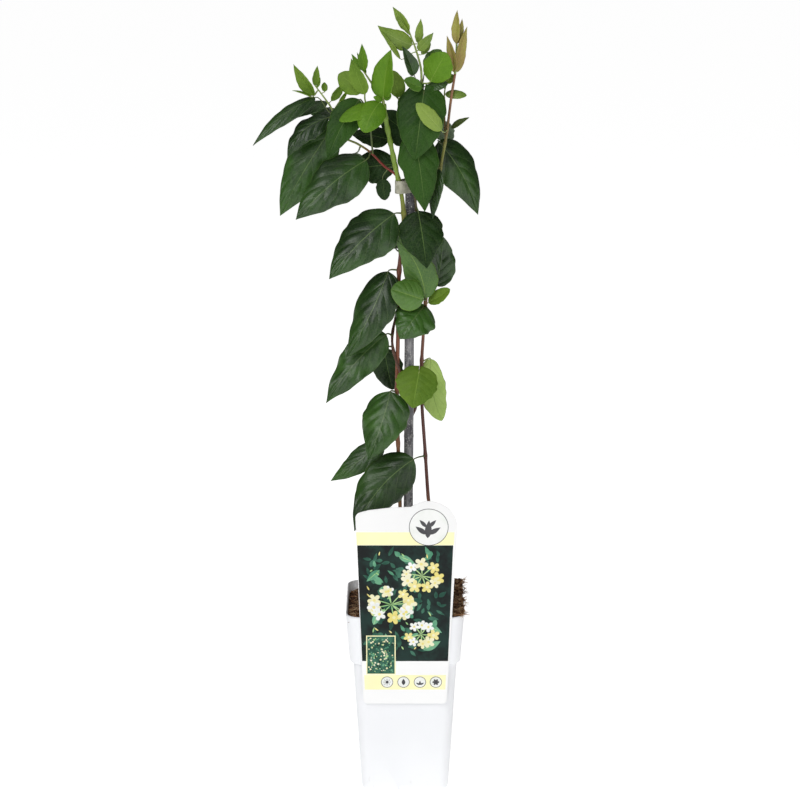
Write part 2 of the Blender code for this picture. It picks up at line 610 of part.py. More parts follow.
def soil_height(x, y):
    """Height of the heaped mix at a place, in mm."""
    lump = noise.noise(Vector((x / 13, y / 13, 3.7))) + 0.6 * noise.noise(Vector((x / 6, y / 6, 9.1)))
    middle = max(0.0, 1 - math.hypot(x, y) / 62)
    right = max(0.0, x - 14) / 40 * (0.8 + y / 250)
    back_left = max(0.0, -x - 15) / 40 * max(0.0, y + 10) / 60
    return SOIL_EDGE_Z + SOIL_HEAP * (0.7 * middle + 1.2 * right - 0.9 * back_left) + SOIL_LUMP * lump


def label_y(z):
    """The card's back face follows the collar's front slope."""
    slope = (RIM_HALF - COLLAR_HALF) / (RIM_Z - COLLAR_Z)
    return -(COLLAR_HALF + (z - COLLAR_Z) * slope + CARD_AIR)


def hook_profile(grow=0.0):
    """The tongue, side on: out of the card's back, over the rim and down inside the wall, as (y, z) in mm."""
    over = RIM_Z + CARD_AIR
    foot = RIM_Z - HOOK_DEPTH
    face = -(inner_half(RIM_Z) - CARD_AIR)
    low_face = -(inner_half(foot) - CARD_AIR)
    return [
        (label_y(over) - CARD * 0.5, over - grow), (face, over - grow), (low_face, foot - grow),
        (low_face + CARD + grow, foot - grow), (face + CARD + grow, over + CARD + grow),
        (label_y(over + CARD) - CARD * 0.5, over + CARD + grow),
    ]


def extrude_profile(name, outline, way, tone):
    """A flat outline given its depth along way, both as Vectors in mm."""
    bm = bmesh.new()
    face = bm.faces.new([bm.verts.new(Vector(p) * MM) for p in outline])
    pushed = bmesh.ops.extrude_face_region(bm, geom=[face])
    verts = [g for g in pushed["geom"] if isinstance(g, bmesh.types.BMVert)]
    bmesh.ops.translate(bm, vec=way * MM, verts=verts)
    return add_object(name, bm, tone, 30.0)


def hook(name, grow=0.0):
    half = HOOK_HALF + grow
    outline = [Vector((-half, y, z)) for y, z in hook_profile(grow)]
    return extrude_profile(name, outline, Vector((2 * half, 0, 0)), "card")


def soil():
    """The mix fills the pot to its rim, with plain holes for the cane, the stems and the label's tongue."""
    fit = GAP
    rings = [
        rounded_square(FOOT_HALF - WALL - fit - 0.6, CORNER - 2 - WALL, FLOOR + fit),
        rounded_square(inner_half(BASE_Z) - fit, CORNER - WALL, BASE_Z + fit),
        rounded_square(inner_half(BODY_Z) - fit, CORNER - WALL, BODY_Z + WALL + 2 * fit),
        rounded_square(inner_half(COLLAR_Z + WALL) - fit - 0.3, CORNER - WALL, COLLAR_Z + 2 * WALL + fit),
    ]
    top = rounded_square(inner_half(SOIL_EDGE_Z) - fit - 0.5, CORNER - WALL, 0)
    rings.append([(x, y, min(soil_height(x, y), RIM_Z + 5)) for x, y, _ in top])
    for scale in (0.9, 0.76, 0.6, 0.43, 0.25, 0.1):
        rings.append([(x * scale, y * scale, soil_height(x * scale, y * scale)) for x, y, _ in top])
    mix = add_object("soil", loft(rings), "soil", 25.0)
    holes = [hook("slot", GAP)]
    for name, (points, foot, head) in STEMS.items():
        buried = [p for p in points if p[2] < 280]
        first = Vector(points[0]) - Vector((0, 0, GAP))
        holes.append(tube(f"{name}_hole", [[tuple(first), *buried[1:]], foot, foot], "soil", 3, GAP + 0.1, 2))
    foot, head = Vector(CANE_FOOT), Vector(CANE_TOP)
    below = foot - (head - foot).normalized() * GAP
    cane = [[tuple(below), CANE_TOP], CANE_RADIUS, CANE_RADIUS]
    holes.append(tube("cane_hole", cane, "soil", 1, 2 * GAP, 3))
    boolean(mix, holes, "DIFFERENCE")


def cane():
    """A straight cane with the slight swellings of its joints."""
    foot, head = Vector(CANE_FOOT), Vector(CANE_TOP)
    along = (head - foot).normalized()
    sides = 12
    joints = (150.0, 322.0, 484.0)
    rings = []
    stops = sorted({0.0, (head - foot).length, *[j + d for j in joints for d in (-3.0, 0.0, 3.0)]})
    for stop in stops:
        swell = 0.0 if stop in joints else -0.25
        centre = foot + along * stop
        rings.append([centre + Vector((math.cos(a), math.sin(a), 0)) * (CANE_RADIUS + swell)
                      for a in (2 * math.pi * i / sides for i in range(sides))])
    add_object("cane", loft(rings), "cane", 50.0)


def around_two(a, ra, b, rb, air, z):
    """A loop of points held tight round two round rods, air away from them."""
    ax, bx = Vector(a), Vector(b)
    way = bx - ax
    heading = math.atan2(way.y, way.x)
    lean = math.acos((ra - rb) / way.length)
    loop = []
    steps = 7
    for centre, radius, start, sweep in ((ax, ra, heading + lean, 2 * math.pi - 2 * lean),
                                         (bx, rb, heading - lean, 2 * lean)):
        for i in range(steps + 1):
            angle = start + sweep * i / steps
            out = radius + air
            loop.append((centre.x + out * math.cos(angle), centre.y + out * math.sin(angle), z))
    return loop


def tie():
    """The soft band that holds the leading stem to the cane."""
    share = (TIE_Z + TIE_HEIGHT / 2 - CANE_FOOT[2]) / (CANE_TOP[2] - CANE_FOOT[2])
    cane_at = Vector(CANE_FOOT).lerp(Vector(CANE_TOP), share).to_2d()
    stem_at = nearest_on_stem(STEMS["stem_left"], Vector((-7, -8.4, TIE_Z + TIE_HEIGHT / 2)) * MM)[0] / MM
    spread = 1.4
    stem_radius = STEMS["stem_left"][2] + spread
    rings = []
    for air, z in ((TIE_AIR, TIE_Z), (TIE_AIR + TIE_WALL, TIE_Z), (TIE_AIR + TIE_WALL, TIE_Z + TIE_HEIGHT),
                   (TIE_AIR, TIE_Z + TIE_HEIGHT)):
        rings.append(around_two(cane_at, CANE_RADIUS, stem_at.to_2d(), stem_radius, air, z))
    bm = bmesh.new()
    loops = [[bm.verts.new(Vector(p) * MM) for p in ring] for ring in rings]
    for lower, upper in zip(loops, loops[1:] + loops[:1]):
        for i in range(len(lower)):
            j = (i + 1) % len(lower)
            bm.faces.new((lower[i], lower[j], upper[j], upper[i]))
    add_object("tie", bm, "tie", 30.0)


def arc(cx, cz, radius, start, end, steps):
    return [(cx + radius * math.cos(math.radians(start + (end - start) * i / steps)),
             cz + radius * math.sin(math.radians(start + (end - start) * i / steps))) for i in range(steps + 1)]


def card_outline():
    """The card's outline from the front, (x, z) in mm: tapering foot, sloping shoulder and round head."""
    half, low, r = CARD_FOOT_HALF, CARD_FOOT_Z, CARD_CORNER
    cx, cz, disc = CARD_DISC
    outline = arc(half - r, low + r, r, -90, 0, 3)
    outline += arc(cx, cz, disc, -8, 128, 14)
    outline += [(-14, 294.5), (-34, 292)]
    outline += arc(-CARD_SHOULDER_HALF + 6, CARD_SHOULDER_Z, 6, 100, 180, 3)
    outline += arc(-half + r, low + r, r, 180, 270, 3)
    return outline


def label():
    """A printed plastic card with a tongue that hooks over the pot's rim."""
    outline = [Vector((x, label_y(z), z)) for x, z in card_outline()]
    card = extrude_profile("label", outline, Vector((0, -CARD, 0)), "card")
    boolean(card, [hook("tongue")], "UNION")


def main():
    clear_scene()
    pot()
    soil()
    cane()
    tie()
    label()
    stems()
    large_leaves()
    shoots()


main()
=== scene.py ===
"""The looks of a potted evergreen honeysuckle: its leaves, stems, cane, tie, mix, pot and label.

The frame is the model's: metres, +Z up, the pot's underside at z = 0 and the label on the -Y side. Tables
are in millimetres, and MM makes them metres.
"""

import math
import random
from dataclasses import dataclass

import bmesh
import bpy
from mathutils import Matrix, Vector, noise


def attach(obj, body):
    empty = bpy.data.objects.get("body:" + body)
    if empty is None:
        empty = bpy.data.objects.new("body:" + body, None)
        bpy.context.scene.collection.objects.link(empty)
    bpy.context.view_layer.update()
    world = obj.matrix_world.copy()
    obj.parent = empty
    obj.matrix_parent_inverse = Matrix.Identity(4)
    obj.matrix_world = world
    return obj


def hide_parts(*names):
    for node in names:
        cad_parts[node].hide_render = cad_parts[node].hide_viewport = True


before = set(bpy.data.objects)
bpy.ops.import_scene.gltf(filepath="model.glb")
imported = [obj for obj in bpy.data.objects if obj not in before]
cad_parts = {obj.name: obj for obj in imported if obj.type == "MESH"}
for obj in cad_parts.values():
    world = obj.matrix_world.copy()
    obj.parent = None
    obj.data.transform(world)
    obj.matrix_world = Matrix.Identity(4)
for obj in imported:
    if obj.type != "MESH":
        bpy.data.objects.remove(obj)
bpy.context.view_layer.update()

MM = 0.001

# Edges that turn by more than this, in radians, are rounded off
SHARP = 1.2

# Pot: half widths across the flats, at heights above the ground
WALL = 1.2
FLOOR = 1.6
CORNER = 10.0
FOOT_HALF = 39.6
BASE_HALF = 42.2
BASE_Z = 4.0
BODY_HALF = 49.7
BODY_Z = 133.5
COLLAR_HALF = 53.1
COLLAR_Z = 136.0
RIM_HALF = 56.6
RIM_Z = 183.0
CORNER_STEPS = 10
NOTCH = (14.0, 12.0, 8.0)
DRAIN_RADIUS = 4.0
DRAIN_AT = 24.0

# Potting mix
SOIL_EDGE_Z = 178.0
SOIL_HEAP = 7.0
SOIL_LUMP = 3.4
SOIL_CELLS = 100
SOIL_SEED = 11

# Loose bits on the mix: how many, and after how many even ones the rest lie at the right
SHREDS = 1250
EVEN_SHREDS = 950
FLAKES = 560
EVEN_FLAKES = 430

# How far shreds at the right may lean out over the rim
RIM_OVERHANG = 7.5

# Cane and the tie that holds the leading stem to it
CANE_FOOT = (2.0, 0.0, 24.0)
CANE_TOP = (4.8, 0.0, 650.0)
CANE_RADIUS = 4.7
TIE_Z = 581.0
TIE_HEIGHT = 12.0
TIE_WALL = 0.7
TIE_AIR = 0.45
TIE_ROWS = 8

# Label: the card lies along the collar's front and hooks over the rim
CARD = 0.8
CARD_AIR = 0.4
CARD_FOOT_Z = 94.0
CARD_FOOT_HALF = 40.0
CARD_SHOULDER_Z = 284.0
CARD_SHOULDER_HALF = 46.5
CARD_CORNER = 4.0
CARD_DISC = (22.0, 274.0, 27.0)
HOOK_HALF = 11.0
HOOK_DEPTH = 34.0

# The printed signs' height and places across the card, and the size of the circle line round each
SIGN_Z = 116.6
SIGNS = (-17.2, -1.5, 14.2, 29.4)
SIGN_RADIUS = 5.8
PRINT_SEED = 5

# Leaves
BLADE_THICK = 0.42
PETIOLE_HALF = 0.75
TIP_HALF = 0.12
VEINS = 5.6
VEIN_LEAN = 0.27
VEIN_BEND = 0.09
HEART_LOBE = 0.17
VEIN_STAGGER = 0.35

# Relief of a blade as wide as FULL_WIDTH: between its side veins, along its midrib, and by chance
FULL_WIDTH = 45.0
PUFF = 1.45
YOUNG_PUFF = 0.6
GROOVE = 0.8
WAVER = 1.2

# Rows and columns of a blade's grid
GROWN_GRID = (60, 18)
YOUNG_GRID = (26, 10)

# The woody stems end in the mix at this height
ROOTED_Z = 112.0

# Routes of the woody stems: points in mm and the radius at the foot and at the top
STEMS = {
    "stem_left": [
        [(-5.4, -3, ROOTED_Z), (-5, -3.4, 180), (-4.6, -3.8, 263), (-6.8, -4.2, 343), (-7.8, -4.8, 391),
         (-6.9, -4.4, 436), (-6.3, -4.2, 479), (-5.6, -5.2, 508), (-3, -7.6, 534), (-1.4, -9, 556),
         (-2.4, -9.4, 572), (-5.4, -9.4, 589), (-10.4, -10, 612), (-17, -12, 645),
         (-20, -16, 664)], 1.7, 2.1],
    "stem_twining": [
        [(3, 7.6, ROOTED_Z), (2.5, 7.4, 200), (2.2, 7.2, 300), (4, 7.6, 352), (10.4, 0.5, 378),
         (4.4, -8.4, 396), (-4.5, -9.6, 411), (-12.2, -3.6, 438), (-8, 6.4, 464), (1, 8.2, 492),
         (8.5, 5.6, 524), (11.2, 0, 548), (9.6, -5.6, 572), (8.6, -7, 590), (10.6, -4.6, 629),
         (13.4, -3, 660), (15, -3, 685)], 1.5, 1.1],
    "stem_right": [
        [(25, -6, ROOTED_Z), (26, -6, 190), (24, -4, 268), (22, -3, 288), (19, -2, 333), (16, -1, 377),
         (15.4, 0, 411), (17, 0, 443), (19, 0, 475), (22, 0, 509), (27, 0, 566), (31.4, 0, 595),
         (38, 0, 634), (42, 0, 666), (45.6, 0, 690)], 2.0, 1.2],
}

# Side branches that grew from those stems, and are one piece with them
BRANCHES = {
    "stem_left": [
        [[(-7, -9.4, 596), (-11, -7.4, 600), (-20, -4, 606), (-32, -3, 618), (-44, -3, 626), (-56, -2, 632),
          (-63, -1, 646), (-66, 0, 655)], 1.2, 0.9],
        [[(-30, -3.2, 616), (-32, -4, 640), (-34, -9, 656), (-36, -13, 664)], 0.9, 0.8],
    ],
    "stem_twining": [[[(12.6, -3.4, 652), (6, 3, 656), (-4, 5, 664), (-15, 5, 677)], 0.9, 0.7]],
    "stem_right": [[[(37, 0, 629), (36.5, 4, 645), (36, 6, 660), (36, 6, 668)], 0.9, 0.7]],
}


@dataclass
class Leaf:
    """One leaf. base and tip are the ends of its blade, and faces is the way its upper side looks."""

    name: str
    stem: str
    base: tuple
    tip: tuple
    width: float
    faces: tuple = (-0.2, -0.9, 0.4)
    fold: float = -16.0
    arch: float = 0.07
    sweep: float = 0.0
    twist: float = 0.0
    wave: float = 0.0
    shape: str = "ovate"
    tone: str = "leaf_dark"


# Power of the outline at the base and at the tip: a low power is a round end, a high one a drawn-out point
OUTLINES = {"ovate": (0.50, 1.02), "narrow": (0.62, 1.05), "oval": (0.50, 0.62), "heart": (0.36, 0.80)}

LEAVES = [
    Leaf("leaf_left_long", "stem_left", (-83, -6.6, 669.4), (-139, -28, 628), 19, (-.15, -.72, .68), -24,
         .09, .02),
    Leaf("leaf_left_long_pair", "stem_left", (-72, 5.6, 663), (-114, 4.6, 645), 15, (-.2, -.6, .8), -12,
         .08),
    Leaf("leaf_left_crinkled", "stem_left", (-71, -9, 651), (-108, -22, 616), 26, (-.3, -.8, .55), -22, .14,
         .08, wave=.06),
    Leaf("leaf_left_hidden", "stem_left", (-63, 14, 651), (-88, 28, 649), 18, (0, -.6, .8), -14, .12),
    Leaf("leaf_left_hanging", "stem_left", (-68, -3, 640), (-116, -9, 560), 45, (-.08, -.98, .1), -16, .02,
         .02, wave=.02),
    Leaf("leaf_left_shaded", "stem_left", (-42, -12, 668), (-71, -34, 616), 29, (.1, -.9, .4), -10, .06,
         .04),
    Leaf("leaf_left_broad", "stem_left", (-36, -15, 613), (-100, -42, 562), 46, (-.1, -.92, .36), -18, .06,
         .03, wave=.04),
    Leaf("leaf_left_upper", "stem_left", (-10, -10, 562), (-70, -38, 506), 49, (-.1, -.88, .45), -18, .06,
         .03, wave=.03),
    Leaf("leaf_left_middle", "stem_left", (-16, -8, 507), (-55, -30, 430), 43, (-.3, -.9, .3), -20, .06,
         -.05, wave=.03),
    Leaf("leaf_left_wavy", "stem_twining", (-18, -8, 447), (-74, -30, 386), 37, (-.1, -.9, .4), -16, .05,
         .04, 24, .10),
    Leaf("leaf_left_rear", "stem_twining", (-20, 6, 430), (-12, 18, 387), 30, (-.2, -.9, .1), -8, .04,
         shape="oval"),
    Leaf("leaf_left_lower", "stem_left", (-14, -10, 392), (-35, -34, 331), 46, (-.25, -.9, .3), -16, .07,
         -.04, wave=.04),
    Leaf("leaf_left_small", "stem_left", (-22, -1, 340), (-71, -6, 303), 25, (-.1, -.85, .5), -12, .05,
         -.03),
    Leaf("leaf_bottom", "stem_right", (8, -15, 327), (-48, -38, 263), 46, (-.05, -.95, .25), -18, .05, .08,
         wave=.04),
    Leaf("leaf_front_upper", "stem_twining", (17, -11, 675), (9, -25, 615), 46, (0, -.97, .2), -12, .05,
         shape="heart"),
    Leaf("leaf_front_lower", "stem_twining", (7, -12, 638), (18, -23, 566), 37, (0, -.97, .2), -14, .05,
         -.02),
    Leaf("leaf_right_broad", "stem_right", (31, 12, 626), (68, 9, 558), 40, (.3, -.88, .35), -16, .05,
         -.05),
    Leaf("leaf_right_narrow", "stem_right", (30, -5, 603), (25.5, -15, 558), 17, (-.6, -.8, .1), -12, .04),
    Leaf("leaf_centre_upper", "stem_twining", (12, -12, 565), (20, -28, 514), 43, (.1, -.95, .2), -14, .07,
         wave=.05),
    Leaf("leaf_right_cupped", "stem_right", (28, 10, 490), (34, 14, 538), 30, (.5, -.85, .1), 18, -.05, .10,
         wave=.05),
    Leaf("leaf_centre_pale", "stem_right", (19, -5.4, 481), (-11, -13.6, 542), 30, (-.2, -.95, .3), -10,
         .02, .10, tone="leaf_mid"),
    Leaf("leaf_centre_blunt", "stem_right", (17, -12.4, 481), (-13, -31, 495), 29, (0, -.95, .3), -8, .06,
         shape="oval", tone="leaf_mid"),
    Leaf("leaf_right_bud", "stem_right", (22, -1, 476), (42, -7, 490), 14, (.1, -.8, .6), 14, -.05,
         shape="oval", tone="leaf_light"),
    Leaf("leaf_centre_curled", "stem_right", (16, -9, 472), (-5, -27, 447), 41, (.1, -.85, .5), -14, .16,
         wave=.05, shape="heart"),
    Leaf("leaf_heart", "stem_right", (13, -15, 412), (7, -29, 381), 40, (0, -.97, .2), -6, .06,
         shape="heart", tone="leaf_light"),
    Leaf("leaf_pale_hanging", "stem_right", (24, 5, 420), (35, 4, 360), 26, (.1, -.98, .1), -6, .02, .06,
         shape="oval", tone="leaf_pale"),
    Leaf("leaf_shade_low", "stem_left", (-10, 4, 606), (-48, 10, 601), 31, (0, -.9, .3), -8, .05,
         shape="oval"),
    Leaf("leaf_shade_right", "stem_twining", (11, 12, 626), (-28, 23, 655), 31, (.3, -.9, .2), -8, .05),
    Leaf("leaf_shade_left", "stem_left", (-15, 5, 629), (-51, 11, 634), 23, (0, -.75, .65), -8, .06),
    Leaf("leaf_shade_hanging", "stem_left", (-21, 0, 593), (-19, 0, 573), 14, (0, -1, 0), -6, .04,
         shape="oval", tone="leaf_olive"),
    Leaf("leaf_crown_upright", "stem_twining", (8, -7, 690), (-3, -16, 717), 14, (.5, -.85, .1), 20, .04),
    Leaf("leaf_crown_back", "stem_twining", (19, 3, 694), (33, 9, 711), 17, (.2, -.9, .3), -8, .05,
         shape="oval", tone="leaf_mid"),
    Leaf("leaf_crown_shade", "stem_twining", (20.5, -4, 679), (39, -5, 682), 13, (0, -.7, .7), -8, .06,
         shape="oval"),
    Leaf("leaf_crown_bright", "stem_twining", (23, -7, 684), (37, -14, 711), 28, (0, -.95, .3), -10, .06,
         shape="oval", tone="leaf_bright"),
    Leaf("leaf_crown_front", "stem_twining", (15, -13, 679), (-1, -22, 687), 14, (.1, -.8, .6), 10, -.04,
         shape="oval", tone="leaf_mid"),
    Leaf("leaf_crown_left", "stem_twining", (-5, -1, 669), (-12, -8, 694), 16, (-.1, -.9, .4), -8, .05,
         shape="oval", tone="leaf_light"),
    Leaf("leaf_right_young", "stem_right", (33, -21, 641), (10, -39, 668), 15, (-.2, -.9, .4), -8, .03,
         shape="oval", tone="leaf_lime"),
    Leaf("leaf_right_young_pair", "stem_right", (43, 2, 640), (59, 0, 650), 9, (-.3, -.5, .8), 10, .03,
         tone="leaf_olive"),
    Leaf("leaf_rear_upper", "stem_left", (-9, 3, 527), (-26, 38, 541), 32, (-.1, .4, .9), -12, .08),
    Leaf("leaf_rear_middle", "stem_left", (-12, 5, 478), (-36, 44, 450), 36, (-.2, .6, .8), -14, .08),
    Leaf("leaf_rear_lower", "stem_twining", (-1, 14, 372), (-25, 50, 346), 36, (-.2, .6, .8), -14, .08),
    Leaf("leaf_rear_right", "stem_twining", (12, 13, 528), (24, 52, 505), 34, (.2, .6, .8), -14, .08),
    Leaf("leaf_rear_crown", "stem_twining", (22, 8, 650), (42, 50, 616), 34, (.2, .6, .8), -14, .08),
    Leaf("leaf_rear_left", "stem_left", (-46, 14, 615), (-74, 50, 584), 32, (-.3, .6, .8), -14, .08),
]


@dataclass
class Shoot:
    """A leafy tip, all one piece. Its stem, and each twig, has a radius at the foot and one at the top."""

    tone: str
    stem: list
    leaves: list
    twigs: tuple = ()


def young(*row, shape="narrow", **more):
    """A leaf of a shoot, which needs no name or stem of its own."""
    return Leaf("", "", *row, shape=shape, **more)


SHOOTS = {
    "shoot_left": Shoot("leaf_light",
        [[(-66, 0, 655), (-70, -1, 662), (-77, -2.5, 672), (-83, -3.5, 680)], 0.9, 0.6], [
        young((-84, -5, 671), (-102, -12, 700), 13, (-.5, -.8, .3), 22, .03),
        young((-83, -3.5, 680), (-80.5, -4, 698), 7, (.2, -1, 0), 16, .03),
        young((-81, -3, 678), (-78, -2, 687), 3.4, (.3, -1, 0), 10, .03),
        young((-86, -9, 670), (-103, -18, 677), 6, (0, -.3, 1), 14, .03),
        young((-74, 0, 674), (-74.5, 3, 682), 6, (.1, -.9, .3), 10, -.1, shape="oval"),
        young((-68, 4, 665), (-56, 8, 681), 8, (.5, -.8, .3), 16, .05),
        young((-61, 4, 663), (-53, 7, 674), 4, (.6, -.5, .6), 12, .05),
    ], [[[(-66.3, 0, 655.8), (-63, 2, 661), (-60, 4, 665)], 0.7, 0.6]]),
    "shoot_bright": Shoot("leaf_bright",
        [[(-20, -16, 664), (-21, -16, 669), (-30, -13, 682), (-38, -13, 694)], 1.6, 0.7], [
        young((-38, -14, 694), (-39.5, -15, 719), 9, (.1, -1, .1), 18, .03),
        young((-39, -12, 695), (-49, -8, 709), 6, (-.5, -.8, .3), 18, .03),
        young((-36, -12, 692), (-44, -12, 711), 5, (-.3, -1, 0), 18, .03),
        young((-20, -19, 670), (-13, -27, 715), 26, (-.45, -.85, .2), 20, -.02, -.05, shape="ovate"),
        young((-24, -19, 664), (-60, -32, 651), 17, (0, -.7, .7), -8, .06, shape="oval"),
        young((-23, -21, 667), (-37, -37, 641), 26, (-.1, -.9, .4), -8, .09, .04, shape="oval"),
        young((-19, -19, 669), (-13, -21, 674), 6, (.3, -.9, .4), -5, .03, shape="oval"),
        young((-21, -20, 668), (-29, -24, 672), 5, (-.3, -.9, .4), -5, .03, shape="oval"),
    ]),
    "shoot_middle": Shoot("leaf_light", [[(-36, -13, 664), (-37, -15, 669), (-37, -16, 674)], 0.8, 0.7], [
        young((-37, -19, 674), (-49, -27, 707), 16, (-.35, -.9, .1), 14, .04),
        young((-39, -14, 676), (-61, -9, 691), 21, (-.2, -.9, .3), -6, .05, shape="oval"),
    ]),
    "shoot_crown": Shoot("leaf_lime",
        [[(15, -3, 685), (14, -3, 697), (9.5, -2, 713), (6, -1, 722), (3, 0, 730)], 1.1, 0.7], [
        young((3, 0, 729), (-11.5, 0, 751), 10, (-.4, -.9, .1), 20, .03, .03),
        young((4, -1, 726), (-7, -3, 742), 3.4, (-.5, -.8, 0), 12, .03),
        young((6, -3, 717), (-25, -11, 735), 17, (-.3, -.9, .3), -8, .09, -.06, shape="ovate"),
        young((-5, -8, 705), (-22.5, -14, 730), 5, (-.5, -.8, .2), 12, .02, .04),
        young((12, 1, 718), (14.2, 2, 740), 8, (-.1, -1, .1), 16, .03),
        young((12, -3, 712), (25.5, -5, 728), 10, (.4, -.8, .4), 18, .04, shape="ovate"),
        young((15, 0, 708), (23, 3, 718), 6, (.4, -.8, .4), 10, .04, shape="oval"),
    ]),
    "shoot_tip": Shoot("leaf_copper", [[(45.6, 0, 690), (46.6, 0, 702), (47, 0, 718)], 1.2, 0.9], [
        young((46.6, -1, 718), (47.4, 0, 748), 9, (-.4, -.9, 0), 22, .03),
        young((47.6, 1, 718), (52, 3, 740), 7, (.5, -.9, 0), 20, .03),
        young((48, 1, 692), (56.4, 0, 733), 11, (.4, -.9, .1), 24, .03, -.05),
        young((44.6, -1, 692), (38, -4, 725), 10, (-.4, -.9, .1), 24, .03, .05),
    ]),
    "shoot_side": Shoot("leaf_lime", [[(36, 6, 668), (36.4, 6, 674), (38, 5, 681)], 0.7, 0.6], [
        young((37, 5, 671), (56.5, 3, 670), 9, (.1, -.9, .5), -6, .06, shape="oval"),
        young((38, 5, 681), (44, 5, 689), 8, (-.2, -.9, .3), 8, .03, shape="oval"),
        young((36.5, 6, 676), (33, 6, 690), 6, (-.4, -.9, .3), 8, .03, shape="oval"),
    ]),
}


# Shader maths

class Wire:
    """One socket of a look. Python's operators on it add Math nodes."""

    def __init__(self, look, socket):
        self.look, self.socket = look, socket

    def maths(self, operation, *others):
        return self.look.node("ShaderNodeMath", {"operation": operation}, dict(enumerate((self, *others))))

    def __add__(self, other):
        return self.maths("ADD", other)

    def __mul__(self, other):
        return self.maths("MULTIPLY", other)

    def __sub__(self, other):
        return self.maths("SUBTRACT", other)

    def __rsub__(self, other):
        return (self * -1.0).maths("ADD", other)

    def __pow__(self, other):
        return self.maths("POWER", other)

    __radd__, __rmul__ = __add__, __mul__

    def size(self):
        return self.maths("ABSOLUTE")

    def part(self):
        """What is left after the whole number."""
        return self.maths("FRACT")

    def ramp(self, low, high):
        """0 at low and 1 at high, eased between them."""
        return self.look.node("ShaderNodeMapRange", {"interpolation_type": "SMOOTHSTEP"},
                              {"Value": self, "From Min": low, "From Max": high})


class Look:
    """A material, and the nodes that give it its finish."""

    def __init__(self, name, **constants):
        self.material = bpy.data.materials.new(name)
        self.material.use_nodes = True
        self.tree = self.material.node_tree
        self.shader = self.tree.nodes["Principled BSDF"]
        for socket, value in constants.items():
            self.shader.inputs[socket.replace("_", " ")].default_value = value
        self.places = {}

    def node(self, kind, settings=None, sockets=None, out=0):
        """Adds a node: its settings first, then the values or links of its sockets."""
        made = self.tree.nodes.new(kind)
        for key, value in (settings or {}).items():
            if key == "stops":
                self.stops(made.color_ramp, value)
            else:
                setattr(made, key, value)
        for key, value in (sockets or {}).items():
            self.plug(value, made.inputs[key])
        return Wire(self, made.outputs[out])

    def stops(self, ramp, stops):
        while len(ramp.elements) < len(stops):
            ramp.elements.new(1.0)
        for element, (position, colour) in zip(ramp.elements, stops):
            element.position, element.color = position, (*colour, 1.0)

    def plug(self, value, socket):
        if isinstance(value, Wire):
            self.tree.links.new(value.socket, socket)
        elif isinstance(value, tuple) and len(value) == 3 and socket.type == "RGBA":
            socket.default_value = (*value, 1.0)
        else:
            socket.default_value = value

    def place(self, stretch=(1.0, 1.0, 1.0)):
        """The piece's own coordinates in metres, each way stretched."""
        if stretch not in self.places:
            spot = self.node("ShaderNodeTexCoord", out="Object")
            self.places[stretch] = self.node("ShaderNodeMapping", {}, {"Vector": spot, "Scale": stretch})
        return self.places[stretch]

    def along(self, axis):
        return self.node("ShaderNodeSeparateXYZ", {}, {"Vector": self.place()}, out=axis)

    def cloud(self, scale, detail=3.0, stretch=(1.0, 1.0, 1.0)):
        sockets = {"Vector": self.place(stretch), "Scale": scale, "Detail": detail, "Roughness": 0.55}
        return self.node("ShaderNodeTexNoise", {}, sockets)

    def cells(self, scale, feature="F1"):
        sockets = {"Vector": self.place(), "Scale": scale}
        return self.node("ShaderNodeTexVoronoi", {"feature": feature}, sockets)

    def mix(self, share, first, second):
        """first turning to second as share goes from 0 to 1, for colours."""
        settings = {"data_type": "RGBA", "clamp_factor": True}
        return self.node("ShaderNodeMix", settings, {0: share, 6: first, 7: second}, out=2)

    def shades(self, share, *stops):
        return self.node("ShaderNodeValToRGB", {"stops": stops}, {"Fac": share})

    def relief(self, height, depth, strength=1.0):
        """Bump of a height from 0 to 1, depth metres deep."""
        return self.node("ShaderNodeBump", {}, {"Height": height, "Distance": depth, "Strength": strength})

    def finish(self, colour=None, roughness=None, bump=None):
        for socket, value in (("Base Color", colour), ("Roughness", roughness), ("Normal", bump)):
            if value is not None:
                self.plug(value, self.shader.inputs[socket])
        return self.material


MATT_LEAVES = ("leaf_flat", "leaf_shade", "leaf_light", "leaf_pale", "leaf_bright")
PUCKERED_LEAVES = ("leaf_dark", "leaf_green")


def vein_places(look, drift=0.0):
    """t along a blade, v across it, and how far the nearest side vein is, from 0 to 0.5."""
    spot = look.node("ShaderNodeUVMap", {"uv_map": "blade"})
    t = look.node("ShaderNodeSeparateXYZ", {}, {"Vector": spot}, out="X")
    across = look.node("ShaderNodeSeparateXYZ", {}, {"Vector": spot}, out="Y") * 2.0 - 1.0
    v = across.size()
    side = across.maths("GREATER_THAN", 0.0)
    phase = ((t - v * VEIN_LEAN - v * v * VEIN_BEND) * VEINS + side * VEIN_STAGGER + drift + 20.0).part()
    return t, v, (phase - 0.5).size() * -1.0 + 0.5


